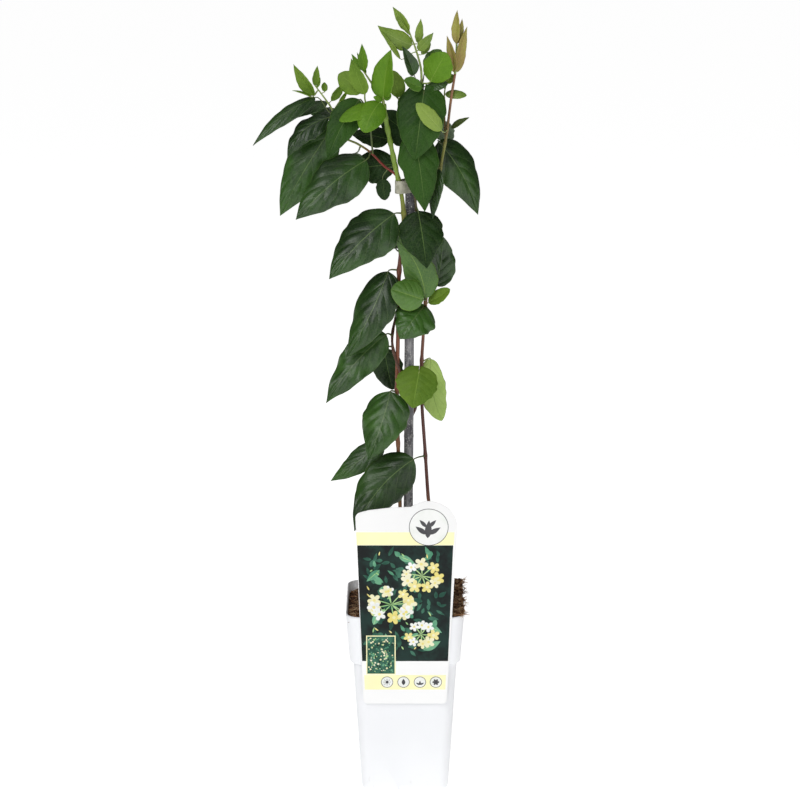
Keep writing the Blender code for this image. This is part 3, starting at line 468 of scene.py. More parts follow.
def leaf_look(name, deep, lit, vein, gloss, vein_share):
    """A leaf's face: painted light and shade as soft patches of a deep and a lit green, painted shade in the
    valleys by the side veins, pale ribs, fine net veins and a lighter margin.
    """
    look = Look(name, Specular_IOR_Level=0.14 if name in MATT_LEAVES else 0.45)
    t, v, from_vein = vein_places(look, (look.cloud(38.0, 2.0) - 0.5) * 0.35)
    inner = 1.0 - v.ramp(0.75, 0.97)
    rib = (1.0 - from_vein.ramp(0.0, 0.042)) * inner
    # The valleys beside the side veins: they sink in the bump and carry painted shade
    shaded_valley = (1.0 - from_vein.ramp(0.0, 0.17)) * inner * look.cloud(30.0, 2.0).ramp(0.3, 0.62)
    midrib = 1.0 - (v * (t * -0.5 + 1.0) ** -1.0).ramp(0.010, 0.034)
    net = 1.0 - look.cells(430.0, "DISTANCE_TO_EDGE").ramp(0.0, 0.16)
    margin = v.ramp(0.955, 0.99) * 0.5
    # Painted light and shade: soft patches from the deep, shaded green to the lit green, then small patches
    # pulled further towards the lit green
    green = look.mix(look.cloud(26.0, 4.0).ramp(0.36, 0.64), deep, lit)
    green = look.mix(look.cloud(260.0, 2.0).ramp(0.45, 0.75) * 0.3, green, lit)
    # Painted shade: the valleys beside the side veins are darkened towards the deep green
    green = look.mix(shaded_valley * 0.4, green, deep)
    green = look.mix(net * 0.13, green, vein)
    green = look.mix((rib * vein_share).maths("MAXIMUM", margin), green, vein)
    green = look.mix(midrib * 0.8, green, vein)
    shine = look.cloud(90.0, 3.0) * 0.16 + (gloss - 0.08)
    height = look.cloud(700.0, 3.0) * 0.08 + (1.0 - net) * 0.1 + (1.0 - shaded_valley) * 0.42
    height = height + look.cloud(75.0, 2.0) * 1.5
    depth = 0.0005 if name in PUCKERED_LEAVES else 0.0003
    return look.finish(green, shine, look.relief(height, depth, 0.75))


def under_look(name, base, vein):
    """The matt, paler back of a leaf."""
    look = Look(name, Specular_IOR_Level=0.3)
    _, v, from_vein = vein_places(look)
    rib = (1.0 - from_vein.ramp(0.0, 0.12)) * (1.0 - v.ramp(0.7, 0.97))
    net = 1.0 - look.cells(420.0, "DISTANCE_TO_EDGE").ramp(0.0, 0.2)
    green = look.mix(look.cloud(40.0, 3.0).ramp(0.35, 0.7) * 0.4, base, vein)
    green = look.mix((rib * 0.7).maths("MAXIMUM", net * 0.3), green, vein)
    shine = look.cloud(120.0) * 0.15 + 0.5
    return look.finish(green, shine, look.relief(rib * 0.7 + net * 0.3, 0.0002, 0.7))


def bark_look(name, stops, axis="Z", low=0.0, high=750.0, streak=0.35, gloss=0.42):
    """Bark whose colour changes along the stem, with long streaks, pale fibres and small pores."""
    look = Look(name, Specular_IOR_Level=0.45)
    share = look.along(axis).ramp(low * MM, high * MM) if axis == "X" else look.along(axis) * (1000.0 / high)
    wander = (look.cloud(30.0, 2.0) - 0.5) * 0.03
    base = look.shades(share + wander, *stops)
    streaks = look.cloud(900.0, 3.0, (1.0, 1.0, 0.06))
    dark = look.mix(streaks.ramp(0.48, 0.66) * streak, base, (0.02, 0.008, 0.005))
    pale = look.cloud(1300.0, 2.0, (1.0, 1.0, 0.03)).ramp(0.58, 0.72)
    colour = look.mix(pale * streak * 0.8, dark, (0.42, 0.27, 0.15))
    height = streaks * 0.7 + pale * 0.3
    return look.finish(colour, streaks * 0.25 + (gloss - 0.1), look.relief(height, 0.0004, 0.8))


def cane_look():
    """Weathered grey cane: long dark streaks, pale lichen specks and mould spots."""
    look = Look("cane_weathered", Specular_IOR_Level=0.3)
    long_grain = look.cloud(380.0, 4.0, (1.0, 1.0, 0.05))
    base = look.shades(long_grain, (0.34, (0.070, 0.070, 0.080)), (0.50, (0.19, 0.187, 0.20)),
                       (0.66, (0.36, 0.355, 0.36)))
    blotch = look.cloud(70.0, 5.0, (1.0, 1.0, 0.5))
    base = look.mix(blotch.ramp(0.48, 0.60) * 0.75, base, (0.035, 0.034, 0.04))
    specks = (1.0 - look.cells(520.0).ramp(0.16, 0.38)) * look.cloud(70.0, 3.0).ramp(0.40, 0.52)
    base = look.mix(specks * 0.85, base, (0.52, 0.51, 0.47))
    low = 1.0 - look.along("Z").ramp(0.20, 0.40)
    base = look.mix(low * look.cloud(150.0, 4.0).ramp(0.45, 0.6) * 0.6, base, (0.36, 0.37, 0.34))
    height = long_grain * 0.6 + specks * 0.4
    return look.finish(base, look.cloud(200.0) * 0.2 + 0.5, look.relief(height, 0.0004, 0.8))


def soil_look(dark, light):
    """Dull brown grains."""
    look = Look("soil_mix", Specular_IOR_Level=0.2)
    grain = look.cloud(420.0, 5.0)
    colour = look.shades(grain, (0.35, dark), (0.62, light))
    colour = look.mix(look.cells(260.0).ramp(0.1, 0.5) * 0.4, colour, dark)
    return look.finish(colour, 0.85, look.relief(grain, 0.0012, 0.9))


def straw_look(name, dark, light):
    """A shred of bark or coir, streaked its own way."""
    look = Look(name, Specular_IOR_Level=0.25)
    colour = look.mix(look.cloud(240.0, 3.0).ramp(0.35, 0.65), dark, light)
    return look.finish(colour, look.cloud(500.0) * 0.2 + 0.6, look.relief(look.cloud(1500.0), 0.0003, 0.7))


def pot_look():
    """White moulded plastic with a faint grain, and dust low on the foot."""
    look = Look("pot_plastic", Specular_IOR_Level=0.4, Coat_Weight=0.06)
    haze = look.cloud(9.0, 3.0)
    colour = look.mix(haze.ramp(0.3, 0.7), (0.87, 0.88, 0.905), (0.90, 0.91, 0.93))
    low = 1.0 - look.along("Z").ramp(0.0, 0.05)
    scuff = look.cloud(160.0, 6.0, (1.0, 1.0, 0.4)).ramp(0.62, 0.78) * low
    colour = look.mix(scuff * 0.35, colour, (0.60, 0.58, 0.54))
    grain = look.cloud(1400.0, 2.0)
    return look.finish(colour, look.cloud(220.0) * 0.12 + 0.34, look.relief(grain, 0.00006, 0.5))


def card_look():
    """Smooth white card with a slight gloss."""
    look = Look("card_white", Specular_IOR_Level=0.5)
    tone = look.mix(look.cloud(14.0).ramp(0.3, 0.7), (0.89, 0.89, 0.89), (0.91, 0.91, 0.905))
    return look.finish(tone, look.cloud(300.0) * 0.1 + 0.26, look.relief(look.cloud(900.0), 0.00003, 0.4))


def ink_look(name, first, second):
    """Printed colour on the card, in two shades that run into each other."""
    look = Look(name, Specular_IOR_Level=0.2)
    tone = look.mix(look.cloud(60.0, 3.0).ramp(0.36, 0.64), first, second)
    return look.finish(tone, look.cloud(300.0) * 0.1 + 0.26)


def tie_look():
    """Soft grey-beige band with a fine weave."""
    look = Look("tie_band", Specular_IOR_Level=0.4)
    weave = look.cloud(900.0, 2.0, (1.0, 1.0, 0.2))
    tone = look.mix(look.cloud(240.0, 3.0).ramp(0.35, 0.65), (0.27, 0.27, 0.20), (0.40, 0.39, 0.31))
    return look.finish(tone, weave * 0.2 + 0.4, look.relief(weave, 0.0002, 0.6))


def make_looks():
    """Every finish, by name."""
    young, ripe, pale = (0.21, 0.33, 0.05), (0.11, 0.18, 0.05), (0.30, 0.39, 0.09)
    # Per face: its deep, shaded green and its lit green, which are painted shade and painted light; its vein
    # green; its roughness; and how much its side veins show
    tops = {
        "leaf_dark": ((0.005, 0.022, 0.003), (0.022, 0.069, 0.008), ripe, 0.36, 0.34),
        "leaf_green": ((0.014, 0.048, 0.006), (0.040, 0.116, 0.014), ripe, 0.36, 0.30),
        "leaf_flat": ((0.013, 0.045, 0.005), (0.025, 0.076, 0.008), ripe, 0.48, 0.18),
        # leaf_shade is painted shade: a darker copy of the leaf greens for leaves that lie in shade
        "leaf_shade": ((0.005, 0.016, 0.003), (0.012, 0.038, 0.007), ripe, 0.48, 0.15),
        "leaf_mid": ((0.042, 0.114, 0.013), (0.085, 0.198, 0.028), young, 0.36, 0.22),
        "leaf_light": ((0.078, 0.155, 0.012), (0.140, 0.235, 0.026), young, 0.48, 0.22),
        "leaf_bright": ((0.054, 0.148, 0.004), (0.103, 0.225, 0.012), young, 0.42, 0.22),
        "leaf_lime": ((0.092, 0.175, 0.009), (0.185, 0.285, 0.028), pale, 0.46, 0.25),
        "leaf_pale": ((0.320, 0.470, 0.115), (0.410, 0.560, 0.160), ripe, 0.60, 0.3),
        "leaf_olive": ((0.045, 0.074, 0.011), (0.090, 0.128, 0.021), ripe, 0.42, 0.25),
        "leaf_copper": ((0.260, 0.180, 0.050), (0.300, 0.310, 0.055), (0.28, 0.11, 0.06), 0.50, 0.4),
    }
    looks = {name: leaf_look(name, deep, lit, vein, gloss, share)
             for name, (deep, lit, vein, gloss, share) in tops.items()}
    looks["under_dark"] = under_look("under_dark", (0.032, 0.068, 0.020), (0.075, 0.130, 0.045))
    looks["under_young"] = under_look("under_young", (0.190, 0.310, 0.080), (0.330, 0.430, 0.160))
    looks["stalk_dark"] = bark_look("stalk_dark", [
        (0.0, (0.075, 0.110, 0.030)), (1.0, (0.085, 0.120, 0.03))], streak=0.15)
    looks["stalk_young"] = bark_look("stalk_young", [
        (0.0, (0.23, 0.31, 0.07)), (1.0, (0.26, 0.34, 0.09))], streak=0.1)
    looks["stem_left"] = bark_look("stem_left", [
        (0.25, (0.13, 0.050, 0.018)), (0.38, (0.25, 0.105, 0.028)), (0.50, (0.19, 0.058, 0.022)),
        (0.60, (0.20, 0.055, 0.022)), (0.70, (0.12, 0.032, 0.015)), (0.755, (0.17, 0.20, 0.022)),
        (0.80, (0.17, 0.26, 0.025)), (0.90, (0.16, 0.29, 0.028))])
    looks["stem_twining"] = bark_look("stem_twining", [
        (0.30, (0.060, 0.025, 0.015)), (0.60, (0.090, 0.035, 0.018)), (0.74, (0.075, 0.050, 0.016)),
        (0.86, (0.085, 0.110, 0.030)), (0.95, (0.150, 0.200, 0.055))])
    looks["stem_right"] = bark_look("stem_right", [
        (0.25, (0.100, 0.032, 0.020)), (0.36, (0.260, 0.110, 0.060)), (0.40, (0.095, 0.025, 0.016)),
        (0.54, (0.075, 0.020, 0.013)), (0.60, (0.230, 0.080, 0.040)), (0.72, (0.150, 0.130, 0.030)),
        (0.83, (0.190, 0.200, 0.035)), (0.87, (0.260, 0.130, 0.060)), (0.96, (0.240, 0.105, 0.060))])
    looks["branch_red"] = bark_look("branch_red", [
        (0.0, (0.12, 0.17, 0.05)), (0.42, (0.20, 0.22, 0.05)), (0.62, (0.17, 0.026, 0.012)),
        (1.0, (0.17, 0.012, 0.008))], axis="X", low=-75.0, high=0.0, streak=0.04, gloss=0.5)
    looks["cane"] = cane_look()
    looks["tie"] = tie_look()
    looks["pot"] = pot_look()
    looks["card"] = card_look()
    looks["soil"] = soil_look((0.030, 0.014, 0.008), (0.130, 0.066, 0.034))
    looks["straw_dark"] = straw_look("straw_dark", (0.060, 0.027, 0.012), (0.150, 0.070, 0.030))
    looks["straw_brown"] = straw_look("straw_brown", (0.180, 0.085, 0.036), (0.330, 0.170, 0.080))
    looks["straw_tan"] = straw_look("straw_tan", (0.380, 0.240, 0.120), (0.620, 0.450, 0.270))
    inks = {
        "ink_night": ((0.003, 0.006, 0.006), (0.008, 0.030, 0.024)),
        "ink_forest": ((0.010, 0.060, 0.040), (0.050, 0.170, 0.110)),
        "ink_leaf": ((0.060, 0.240, 0.140), (0.180, 0.440, 0.260)),
        "ink_fresh": ((0.300, 0.560, 0.220), (0.480, 0.690, 0.300)),
        "ink_cream": ((0.800, 0.760, 0.420), (0.860, 0.830, 0.620)),
        "ink_butter": ((0.780, 0.680, 0.200), (0.840, 0.760, 0.330)),
        "ink_white": ((0.820, 0.840, 0.800), (0.880, 0.885, 0.870)),
        "ink_band": ((0.960, 0.930, 0.540), (0.960, 0.930, 0.560)),
        "ink_grey": ((0.060, 0.060, 0.065), (0.080, 0.080, 0.085)),
    }
    for name, (first, second) in inks.items():
        looks[name] = ink_look(name, first, second)
    return looks


looks = make_looks()


# Shapes that every piece uses

def smooth_route(points, steps):
    """Points along a smooth curve through the route's own points."""
    pts = [Vector(p) * MM for p in points]
    padded = [2 * pts[0] - pts[1], *pts, 2 * pts[-1] - pts[-2]]
    route = []
    for a, b, c, d in zip(padded, padded[1:], padded[2:], padded[3:]):
        for i in range(steps):
            t = i / steps
            route.append(0.5 * (2 * b + (c - a) * t + (2 * a - 5 * b + 4 * c - d) * t * t
                                + (3 * b - 3 * c + d - a) * t ** 3))
    return [*route, pts[-1]]


def lengths_along(route):
    """Share of the whole length reached at each point of a route."""
    run = [0.0]
    for a, b in zip(route, route[1:]):
        run.append(run[-1] + (b - a).length)
    return [r / run[-1] for r in run]


def nearest_on_stem(spec, place):
    """(point, tangent, radius) of a stem at its nearest place to a leaf's base."""
    points, foot, top = spec
    route = smooth_route(points, 8)
    share = lengths_along(route)
    i = min(range(1, len(route) - 1), key=lambda k: (route[k] - place).length)
    return route[i], (route[i + 1] - route[i - 1]).normalized(), (foot + (top - foot) * share[i]) * MM


def joint_for(base, runs):
    """(point, tangent, radius) of the run that passes nearest to a leaf's base."""
    return min((nearest_on_stem(run, base) for run in runs), key=lambda found: (found[0] - base).length)


def add_part(bm, part):
    """Adds a part made in a bmesh of its own, which is freed."""
    mesh = bpy.data.meshes.new("part")
    part.to_mesh(mesh)
    part.free()
    bm.from_mesh(mesh)
    bpy.data.meshes.remove(mesh)


def push(bm, faces):
    """Extrudes faces with all their edges, and gives the new faces."""
    edges = {e for f in faces for e in f.edges}
    verts = {v for e in edges for v in e.verts}
    made = bmesh.ops.extrude_face_region(bm, geom=[*faces, *edges, *verts])["geom"]
    return [g for g in made if isinstance(g, bmesh.types.BMFace)]


def rod(bm, route, radii, sides=10, slot=0, flat=1.0):
    """A round stem drawn out along a route: a disc, extruded ring by ring. radii are in metres."""
    part = bmesh.new()
    cap = bmesh.ops.create_circle(part, cap_ends=True, radius=1.0, segments=sides)["verts"][0].link_faces[0]
    shape = [vert.co.copy() for vert in cap.verts]
    way = route[1] - route[0]
    turn = way.to_track_quat("Z", "Y")
    for i, (place, radius) in enumerate(zip(route, radii)):
        if i:
            cap = push(part, [cap])[0]
            ahead = route[min(i + 1, len(route) - 1)] - route[i - 1]
            turn = way.rotation_difference(ahead) @ turn
            way = ahead
        for vert, corner in zip(cap.verts, shape):
            vert.co = place + turn @ Vector((corner.x * radius, corner.y * radius * flat, 0.0))
    bmesh.ops.recalc_face_normals(part, faces=part.faces)
    for face in part.faces:
        face.material_index = slot
        face.smooth = True
    add_part(bm, part)


def soften(bm, offset):
    """Rounds every sharp edge, offset mm wide."""
    sharp = [e for e in bm.edges if e.is_manifold and e.calc_face_angle() > SHARP]
    bmesh.ops.bevel(bm, geom=sharp, offset=offset * MM, segments=2, profile=0.5, affect="EDGES", material=-1)


def helper(name, bm):
    """A plain object for a modifier to work on or with."""
    mesh = bpy.data.meshes.new(name)
    bm.to_mesh(mesh)
    bm.free()
    made = bpy.data.objects.new(name, mesh)
    bpy.context.scene.collection.objects.link(made)
    return made


def frozen(piece):
    """The mesh of an object with its modifiers, and the object removed."""
    made = bpy.data.meshes.new_from_object(piece.evaluated_get(bpy.context.evaluated_depsgraph_get()))
    bpy.data.objects.remove(piece)
    return made


def finish_piece(name, bm, slots, replaced, smooth_angle=None):
    """Makes the object, hangs it on the root body, hides the part it replaces and gives it its finishes."""
    mesh = bpy.data.meshes.new(name)
    bm.to_mesh(mesh)
    bm.free()
    for slot in slots:
        mesh.materials.append(looks[slot])
    if smooth_angle is not None:
        mesh.shade_smooth()
        mesh.set_sharp_from_angle(angle=math.radians(smooth_angle))
    piece = bpy.data.objects.new(name, mesh)
    bpy.context.scene.collection.objects.link(piece)
    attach(piece, "root")
    if replaced:
        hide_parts(replaced)
    return piece


# Leaves

def leaf_frame(leaf):
    """The blade's base, tip, length, upward normal and sideways direction."""
    base, tip = Vector(leaf.base) * MM, Vector(leaf.tip) * MM
    along = (tip - base).normalized()
    normal = Vector(leaf.faces)
    normal = (normal - normal.dot(along) * along).normalized()
    return base, tip, (tip - base).length, normal, along.cross(normal)


def midrib(leaf, t):
    """Point and direction of the midrib, t from 0 at the blade's base to 1 at its tip."""
    base, tip, length, normal, side = leaf_frame(leaf)
    bow = (leaf.arch * normal + leaf.sweep * side) * length
    return base.lerp(tip, t) + bow * 4 * t * (1 - t), (tip - base + bow * 4 * (1 - 2 * t)).normalized()


def half_width(leaf, t, side):
    """Half the blade's width at t, in metres, with the slight unevenness of a grown margin."""
    a, b = OUTLINES[leaf.shape]
    peak = a / (a + b)
    outline = (t / peak) ** a * ((1 - t) / (1 - peak)) ** b
    uneven = 1 + 0.10 * noise.noise(Vector((t * 7.5, side * 3.0 + leaf.tip[2] * 0.31, leaf.base[0] * 0.17)))
    uneven += 0.035 * (vein_cell(t, side * 0.95) - 0.6)
    least = PETIOLE_HALF + (TIP_HALF - PETIOLE_HALF) * min(1.0, t * 1.5)
    return max(leaf.width / 2 * outline * uneven, least) * MM


def vein_cell(t, v):
    """0 on a side vein and 1 half way to the next one."""
    size = abs(v)
    phase = (t - size * VEIN_LEAN - size * size * VEIN_BEND) * VEINS + (VEIN_STAGGER if v > 0 else 0.0)
    return math.sin(math.pi * ((phase + 20.0) % 1.0))


def blade_point(leaf, t, v):
    """Point of the blade's middle surface at t along it and v across it, from -1 to 1."""
    normal = leaf_frame(leaf)[3]
    place, along = midrib(leaf, t)
    up = (normal - normal.dot(along) * along).normalized()
    turn = math.radians(leaf.twist) * (t - 0.5)
    side = along.cross(up)
    up, side = up * math.cos(turn) + side * math.sin(turn), side * math.cos(turn) - up * math.sin(turn)
    half = half_width(leaf, t, 1 if v > 0 else -1)
    fold = math.radians(leaf.fold)
    ripple = leaf.wave * leaf.width * MM * v * v * math.sin(15.5 * t + 1.3 * v) * math.sin(math.pi * t)
    size = abs(v)
    full = leaf.width / FULL_WIDTH * MM
    puff = (PUFF if leaf.tone == "leaf_dark" else YOUNG_PUFF) * full * vein_cell(t, v) ** 0.7
    puff *= min(1.0, size * 3.0) * min(1.0, (1.02 - size) * 2.6) * math.sin(math.pi * t) ** 0.5
    groove = -GROOVE * full * math.exp(-(size / 0.10) ** 2) * math.sin(math.pi * t) ** 0.3
    waver = WAVER * full * size * noise.noise(Vector((t * 4.0 + leaf.base[2], v * 1.2, leaf.tip[0] * 0.13)))
    lift = size ** 1.2 * half * math.sin(fold) + ripple + puff + groove + waver
    if leaf.shape == "heart":
        place = place - along * (HEART_LOBE * leaf.width * MM * size ** 1.4 * (1 - t) ** 7)
    return place + side * (v * half * math.cos(fold)) + up * lift


def stalk_route(leaf, start, start_way, steps):
    """The leaf stalk's curve from the bark to the blade."""
    end, end_way = midrib(leaf, 0.0)
    reach = (end - start).length
    a, b = start_way * reach, end_way * reach
    route = []
    for i in range(steps + 1):
        s = i / steps
        route.append(start * (2 * s ** 3 - 3 * s * s + 1) + a * (s ** 3 - 2 * s * s + s)
                     + end * (3 * s * s - 2 * s ** 3) + b * (s ** 3 - s * s))
    return route


def blades(leaves, rows, columns):
    """A mesh of blades: each a grid bent to its leaf's surface, with UVs, and all of them then thickened."""
    bm = bmesh.new()
    bm.loops.layers.uv.new("blade")
    for leaf in leaves:
        grid = bmesh.new()
        bmesh.ops.create_grid(grid, x_segments=rows, y_segments=columns, size=1.0)
        uv = grid.loops.layers.uv.new("blade")
        for vert in grid.verts:
            t = (vert.co.x + 1) / 2
            vert.co.x = 0.6 * t + 0.2 * (1 - math.cos(math.pi * t))
        for face in grid.faces:
            face.smooth = True
            for loop in face.loops:
                loop[uv].uv = loop.vert.co.x, (loop.vert.co.y + 1) / 2
        for vert in grid.verts:
            vert.co = blade_point(leaf, vert.co.x, vert.co.y)
        bmesh.ops.reverse_faces(grid, faces=grid.faces)
        add_part(bm, grid)
    holder = helper("blades", bm)
    for _ in range(2):
        holder.data.materials.append(None)
    solid = holder.modifiers.new("Thickness", "SOLIDIFY")
    solid.thickness, solid.offset, solid.material_offset = BLADE_THICK * MM, 0.0, 1
    return frozen(holder)


def add_stalk(bm, leaf, start, start_way):
    """The leaf's stalk, which goes on as the rib down the blade's back."""
    route = stalk_route(leaf, start, start_way, 7)
    slim = min(1.0, 0.45 + leaf.width / 60.0)
    radii = [(0.95 - 0.05 * i) * slim * MM for i in range(8)]
    radii[0] *= 1.35
    down = leaf_frame(leaf)[3] * -0.3 * MM
    route += [blade_point(leaf, t, 0.0) + down for t in (0.06, 0.16, 0.3, 0.46, 0.62, 0.78)]
    radii += [r * slim * MM for r in (0.55, 0.5, 0.44, 0.37, 0.3, 0.2)]
    rod(bm, route, radii, 8, 2)


def leaf_slots(tone):
    """The finishes of a leaf's face, its back and its stalk."""
    dark = tone in ("leaf_dark", "leaf_green", "leaf_flat", "leaf_shade", "leaf_mid", "leaf_olive")
    return [tone, "under_dark" if dark else "under_young", "stalk_dark" if dark else "stalk_young"]


# Leaves whose face has another green than their group's. The leaf_shade ones get painted shade: a darker
# green for leaves that lie in shade
TINTS = {
    "leaf_flat": ("leaf_front_upper", "leaf_front_lower", "leaf_left_shaded"),
    "leaf_shade": ("leaf_shade_low", "leaf_shade_left", "leaf_shade_right", "leaf_shade_hanging",
                   "leaf_left_rear", "leaf_centre_upper"),
    "leaf_green": ("leaf_left_lower", "leaf_left_wavy", "leaf_left_hanging", "leaf_left_small",
                   "leaf_centre_curled"),
}


def grow_leaves():
    """Each full-grown leaf, its stalk starting in the bark of the stem that bears it."""
    for leaf in LEAVES:
        base = Vector(leaf.base) * MM
        place, tangent, radius = joint_for(base, [STEMS[leaf.stem], *BRANCHES[leaf.stem]])
        out = base - place
        out = (out - out.dot(tangent) * tangent).normalized()
        bm = bmesh.new()
        bm.from_mesh(blades([leaf], *GROWN_GRID))
        add_stalk(bm, leaf, place + out * radius * 0.6, out)
        tone = next((tint for tint, names in TINTS.items() if leaf.name in names), leaf.tone)
        finish_piece(f"{leaf.name}_grown", bm, leaf_slots(tone), leaf.name)


def grow_shoots():
    """Leafy tips: the soft stem, its twigs and its young leaves."""
    for name, shoot in SHOOTS.items():
        bm = bmesh.new()
        for leaf in shoot.leaves:
            leaf.tone = shoot.tone
        bm.from_mesh(blades(shoot.leaves, *YOUNG_GRID))
        runs = [shoot.stem, *shoot.twigs]
        for run, r0, r1 in runs:
            route = smooth_route(run, 8)
            radii = [(r0 + (r1 - r0) * s) * MM for s in lengths_along(route)]
            rod(bm, route, radii, 10, 2)
        for leaf in shoot.leaves:
            base = Vector(leaf.base) * MM
            place = joint_for(base, runs)[0]
            add_stalk(bm, leaf, place, (midrib(leaf, 0.0)[1] + (base - place)).normalized())
        finish_piece(f"{name}_grown", bm, leaf_slots(shoot.tone), name)


# Stems, cane and tie

def bark_radii(route, foot, top, nodes, seed):
    """Radii that taper, swell at the leaf joints and vary a little."""
    share = lengths_along(route)
    radii = []
    for place, s in zip(route, share):
        radius = foot + (top - foot) * s
        swell = max([math.exp(-((place.z / MM - z) / 3.5) ** 2) for z in nodes] or [0.0])
        grain = noise.noise(Vector((place.z * 160, seed, 0.5)))
        radii.append(radius * (1 + 0.30 * swell + 0.07 * grain) * MM)
    return radii


def grow_stems():
    """The woody stems, each one piece with its side branches."""
    for i, (name, (points, foot, top)) in enumerate(STEMS.items()):
        bm = bmesh.new()
        route = smooth_route(points, 26)
        nodes = [leaf.base[2] for leaf in LEAVES if leaf.stem == name]
        rod(bm, route, bark_radii(route, foot, top, nodes, i * 7.1), 14, 0)
        for j, (run, r0, r1) in enumerate(BRANCHES[name]):
            side = smooth_route(run, 14)
            slot = 1 + j if name == "stem_left" else 0
            rod(bm, side, bark_radii(side, r0, r1, [side[-1].z / MM], i + j * 3.3), 12, slot)
        slots = [name, "branch_red", "stalk_dark"] if name == "stem_left" else [name]
        finish_piece(f"{name}_bark", bm, slots, name)


def make_cane():
    """A bamboo cane: slightly uneven, with a ridge at each joint and a hollow cut top."""
    foot, head = Vector(CANE_FOOT) * MM, Vector(CANE_TOP) * MM
    joints = (150.0, 322.0, 484.0)
    length = (head - foot).length / MM
    near_joints = [j + d for j in joints for d in (-4, -2, -1, 0, 1, 2, 4)]
    stops = sorted({*range(0, int(length), 6), length, *near_joints})
    route = [foot.lerp(head, stop / length) for stop in stops]
    radii = []
    for stop in stops:
        ridge = max(math.exp(-((stop - j) / 1.3) ** 2) for j in joints)
        grain = noise.noise(Vector((stop * 0.05, 2.0, 0)))
        radii.append((CANE_RADIUS - 0.2 + 0.3 * ridge + 0.12 * grain) * MM)
    along = (head - foot).normalized()
    for depth, radius in ((0.0, CANE_RADIUS - 0.8), (0.0, CANE_RADIUS - 1.6), (-9.0, CANE_RADIUS - 1.8)):
        route.append(head + along * (0.05 + depth) * MM)
        radii.append(radius * MM)
    bm = bmesh.new()
    rod(bm, route, radii, 28, 0)
    finish_piece("cane_weathered", bm, ["cane"], "cane")


def around_two(a, ra, b, rb, air):
    """A loop of points held tight round two round rods, air away from them."""
    way = b - a
    heading = math.atan2(way.y, way.x)
    lean = math.acos((ra - rb) / way.length)
    loop = []
    steps = 16
    for centre, radius, start, sweep in ((a, ra + air, heading + lean, 2 * math.pi - 2 * lean),
                                         (b, rb + air, heading - lean, 2 * lean)):
        for i in range(steps + 1):
            angle = start + sweep * i / steps
            loop.append(Vector((centre.x + radius * math.cos(angle), centre.y + radius * math.sin(angle))))
    return loop


def make_tie():
    """The soft band round the leading stem and the cane: a ring of wall sections, swept and closed."""
    share = (TIE_Z + TIE_HEIGHT / 2 - CANE_FOOT[2]) / (CANE_TOP[2] - CANE_FOOT[2])
    cane_at = Vector(CANE_FOOT).lerp(Vector(CANE_TOP), share).to_2d()
    at = Vector((-7, -8.4, TIE_Z + TIE_HEIGHT / 2)) * MM
    stem_at = (nearest_on_stem(STEMS["stem_left"], at)[0] / MM).to_2d()
    stem_radius = STEMS["stem_left"][2] + 1.4
    loop = around_two(cane_at, CANE_RADIUS, stem_at, stem_radius, TIE_AIR)
    outer = around_two(cane_at, CANE_RADIUS, stem_at, stem_radius, TIE_AIR + TIE_WALL)
    bm = bmesh.new()
    edges = []
    for line in (loop, outer):
        verts = [bm.verts.new((p.x * MM, p.y * MM, TIE_Z * MM)) for p in line]
        edges += [bm.edges.new((a, b)) for a, b in zip(verts, verts[1:] + verts[:1])]
    ring = bmesh.ops.bridge_loops(bm, edges=edges)["faces"]
    for _ in range(TIE_ROWS):
        ring = push(bm, ring)
        verts = {v for f in ring for v in f.verts}
        bmesh.ops.translate(bm, vec=(0, 0, TIE_HEIGHT / TIE_ROWS * MM), verts=list(verts))
    bmesh.ops.recalc_face_normals(bm, faces=bm.faces)
    soften(bm, 0.2)
    finish_piece("tie_band", bm, ["tie"], "tie", 35.0)


# Pot and potting mix

def rounded_face(bm, half, corner, z):
    """A flat square face with round corners."""
    face = bmesh.ops.create_grid(bm, x_segments=1, y_segments=1, size=half * MM)["verts"][0].link_faces[0]
    bmesh.ops.translate(bm, vec=(0, 0, z * MM), verts=face.verts)
    bmesh.ops.bevel(bm, geom=list(face.verts), offset=corner * MM, offset_type="OFFSET",
                    segments=CORNER_STEPS, profile=0.5, affect="VERTICES", material=-1)
    return max(bm.faces, key=lambda f: len(f.verts))


def drawn(bm, face, stops):
    """Extrudes a face through stops of (half width, height), each scaled to fit."""
    half = max(abs(v.co.x) for v in face.verts)
    for wide, z in stops:
        face = push(bm, [face])[0]
        for vert in face.verts:
            vert.co.x *= wide * MM / half
            vert.co.y *= wide * MM / half
            vert.co.z = z * MM
        half = wide * MM


def inner_half(z):
    """Half width of the pot's inside at a height."""
    if z >= COLLAR_Z + WALL:
        return COLLAR_HALF + (RIM_HALF - COLLAR_HALF) * (z - COLLAR_Z) / (RIM_Z - COLLAR_Z) - WALL
    return BASE_HALF + (BODY_HALF - BASE_HALF) * (z - BASE_Z) / (BODY_Z - BASE_Z) - WALL


def wall_stops(heights, out=WALL):
    """(half width, height) of the wall at some heights, out mm from its inside."""
    return [(inner_half(z) + out, z) for z in heights]


def cut(piece, others):
    """Cuts the other objects out of a piece, for good."""
    for other in others:
        modifier = piece.modifiers.new("Cut", "BOOLEAN")
        modifier.operation = "DIFFERENCE"
        modifier.object = other
    made = bpy.data.meshes.new_from_object(piece.evaluated_get(bpy.context.evaluated_depsgraph_get()))
    piece.modifiers.clear()
    piece.data = made
    for other in others:
        bpy.data.objects.remove(other)


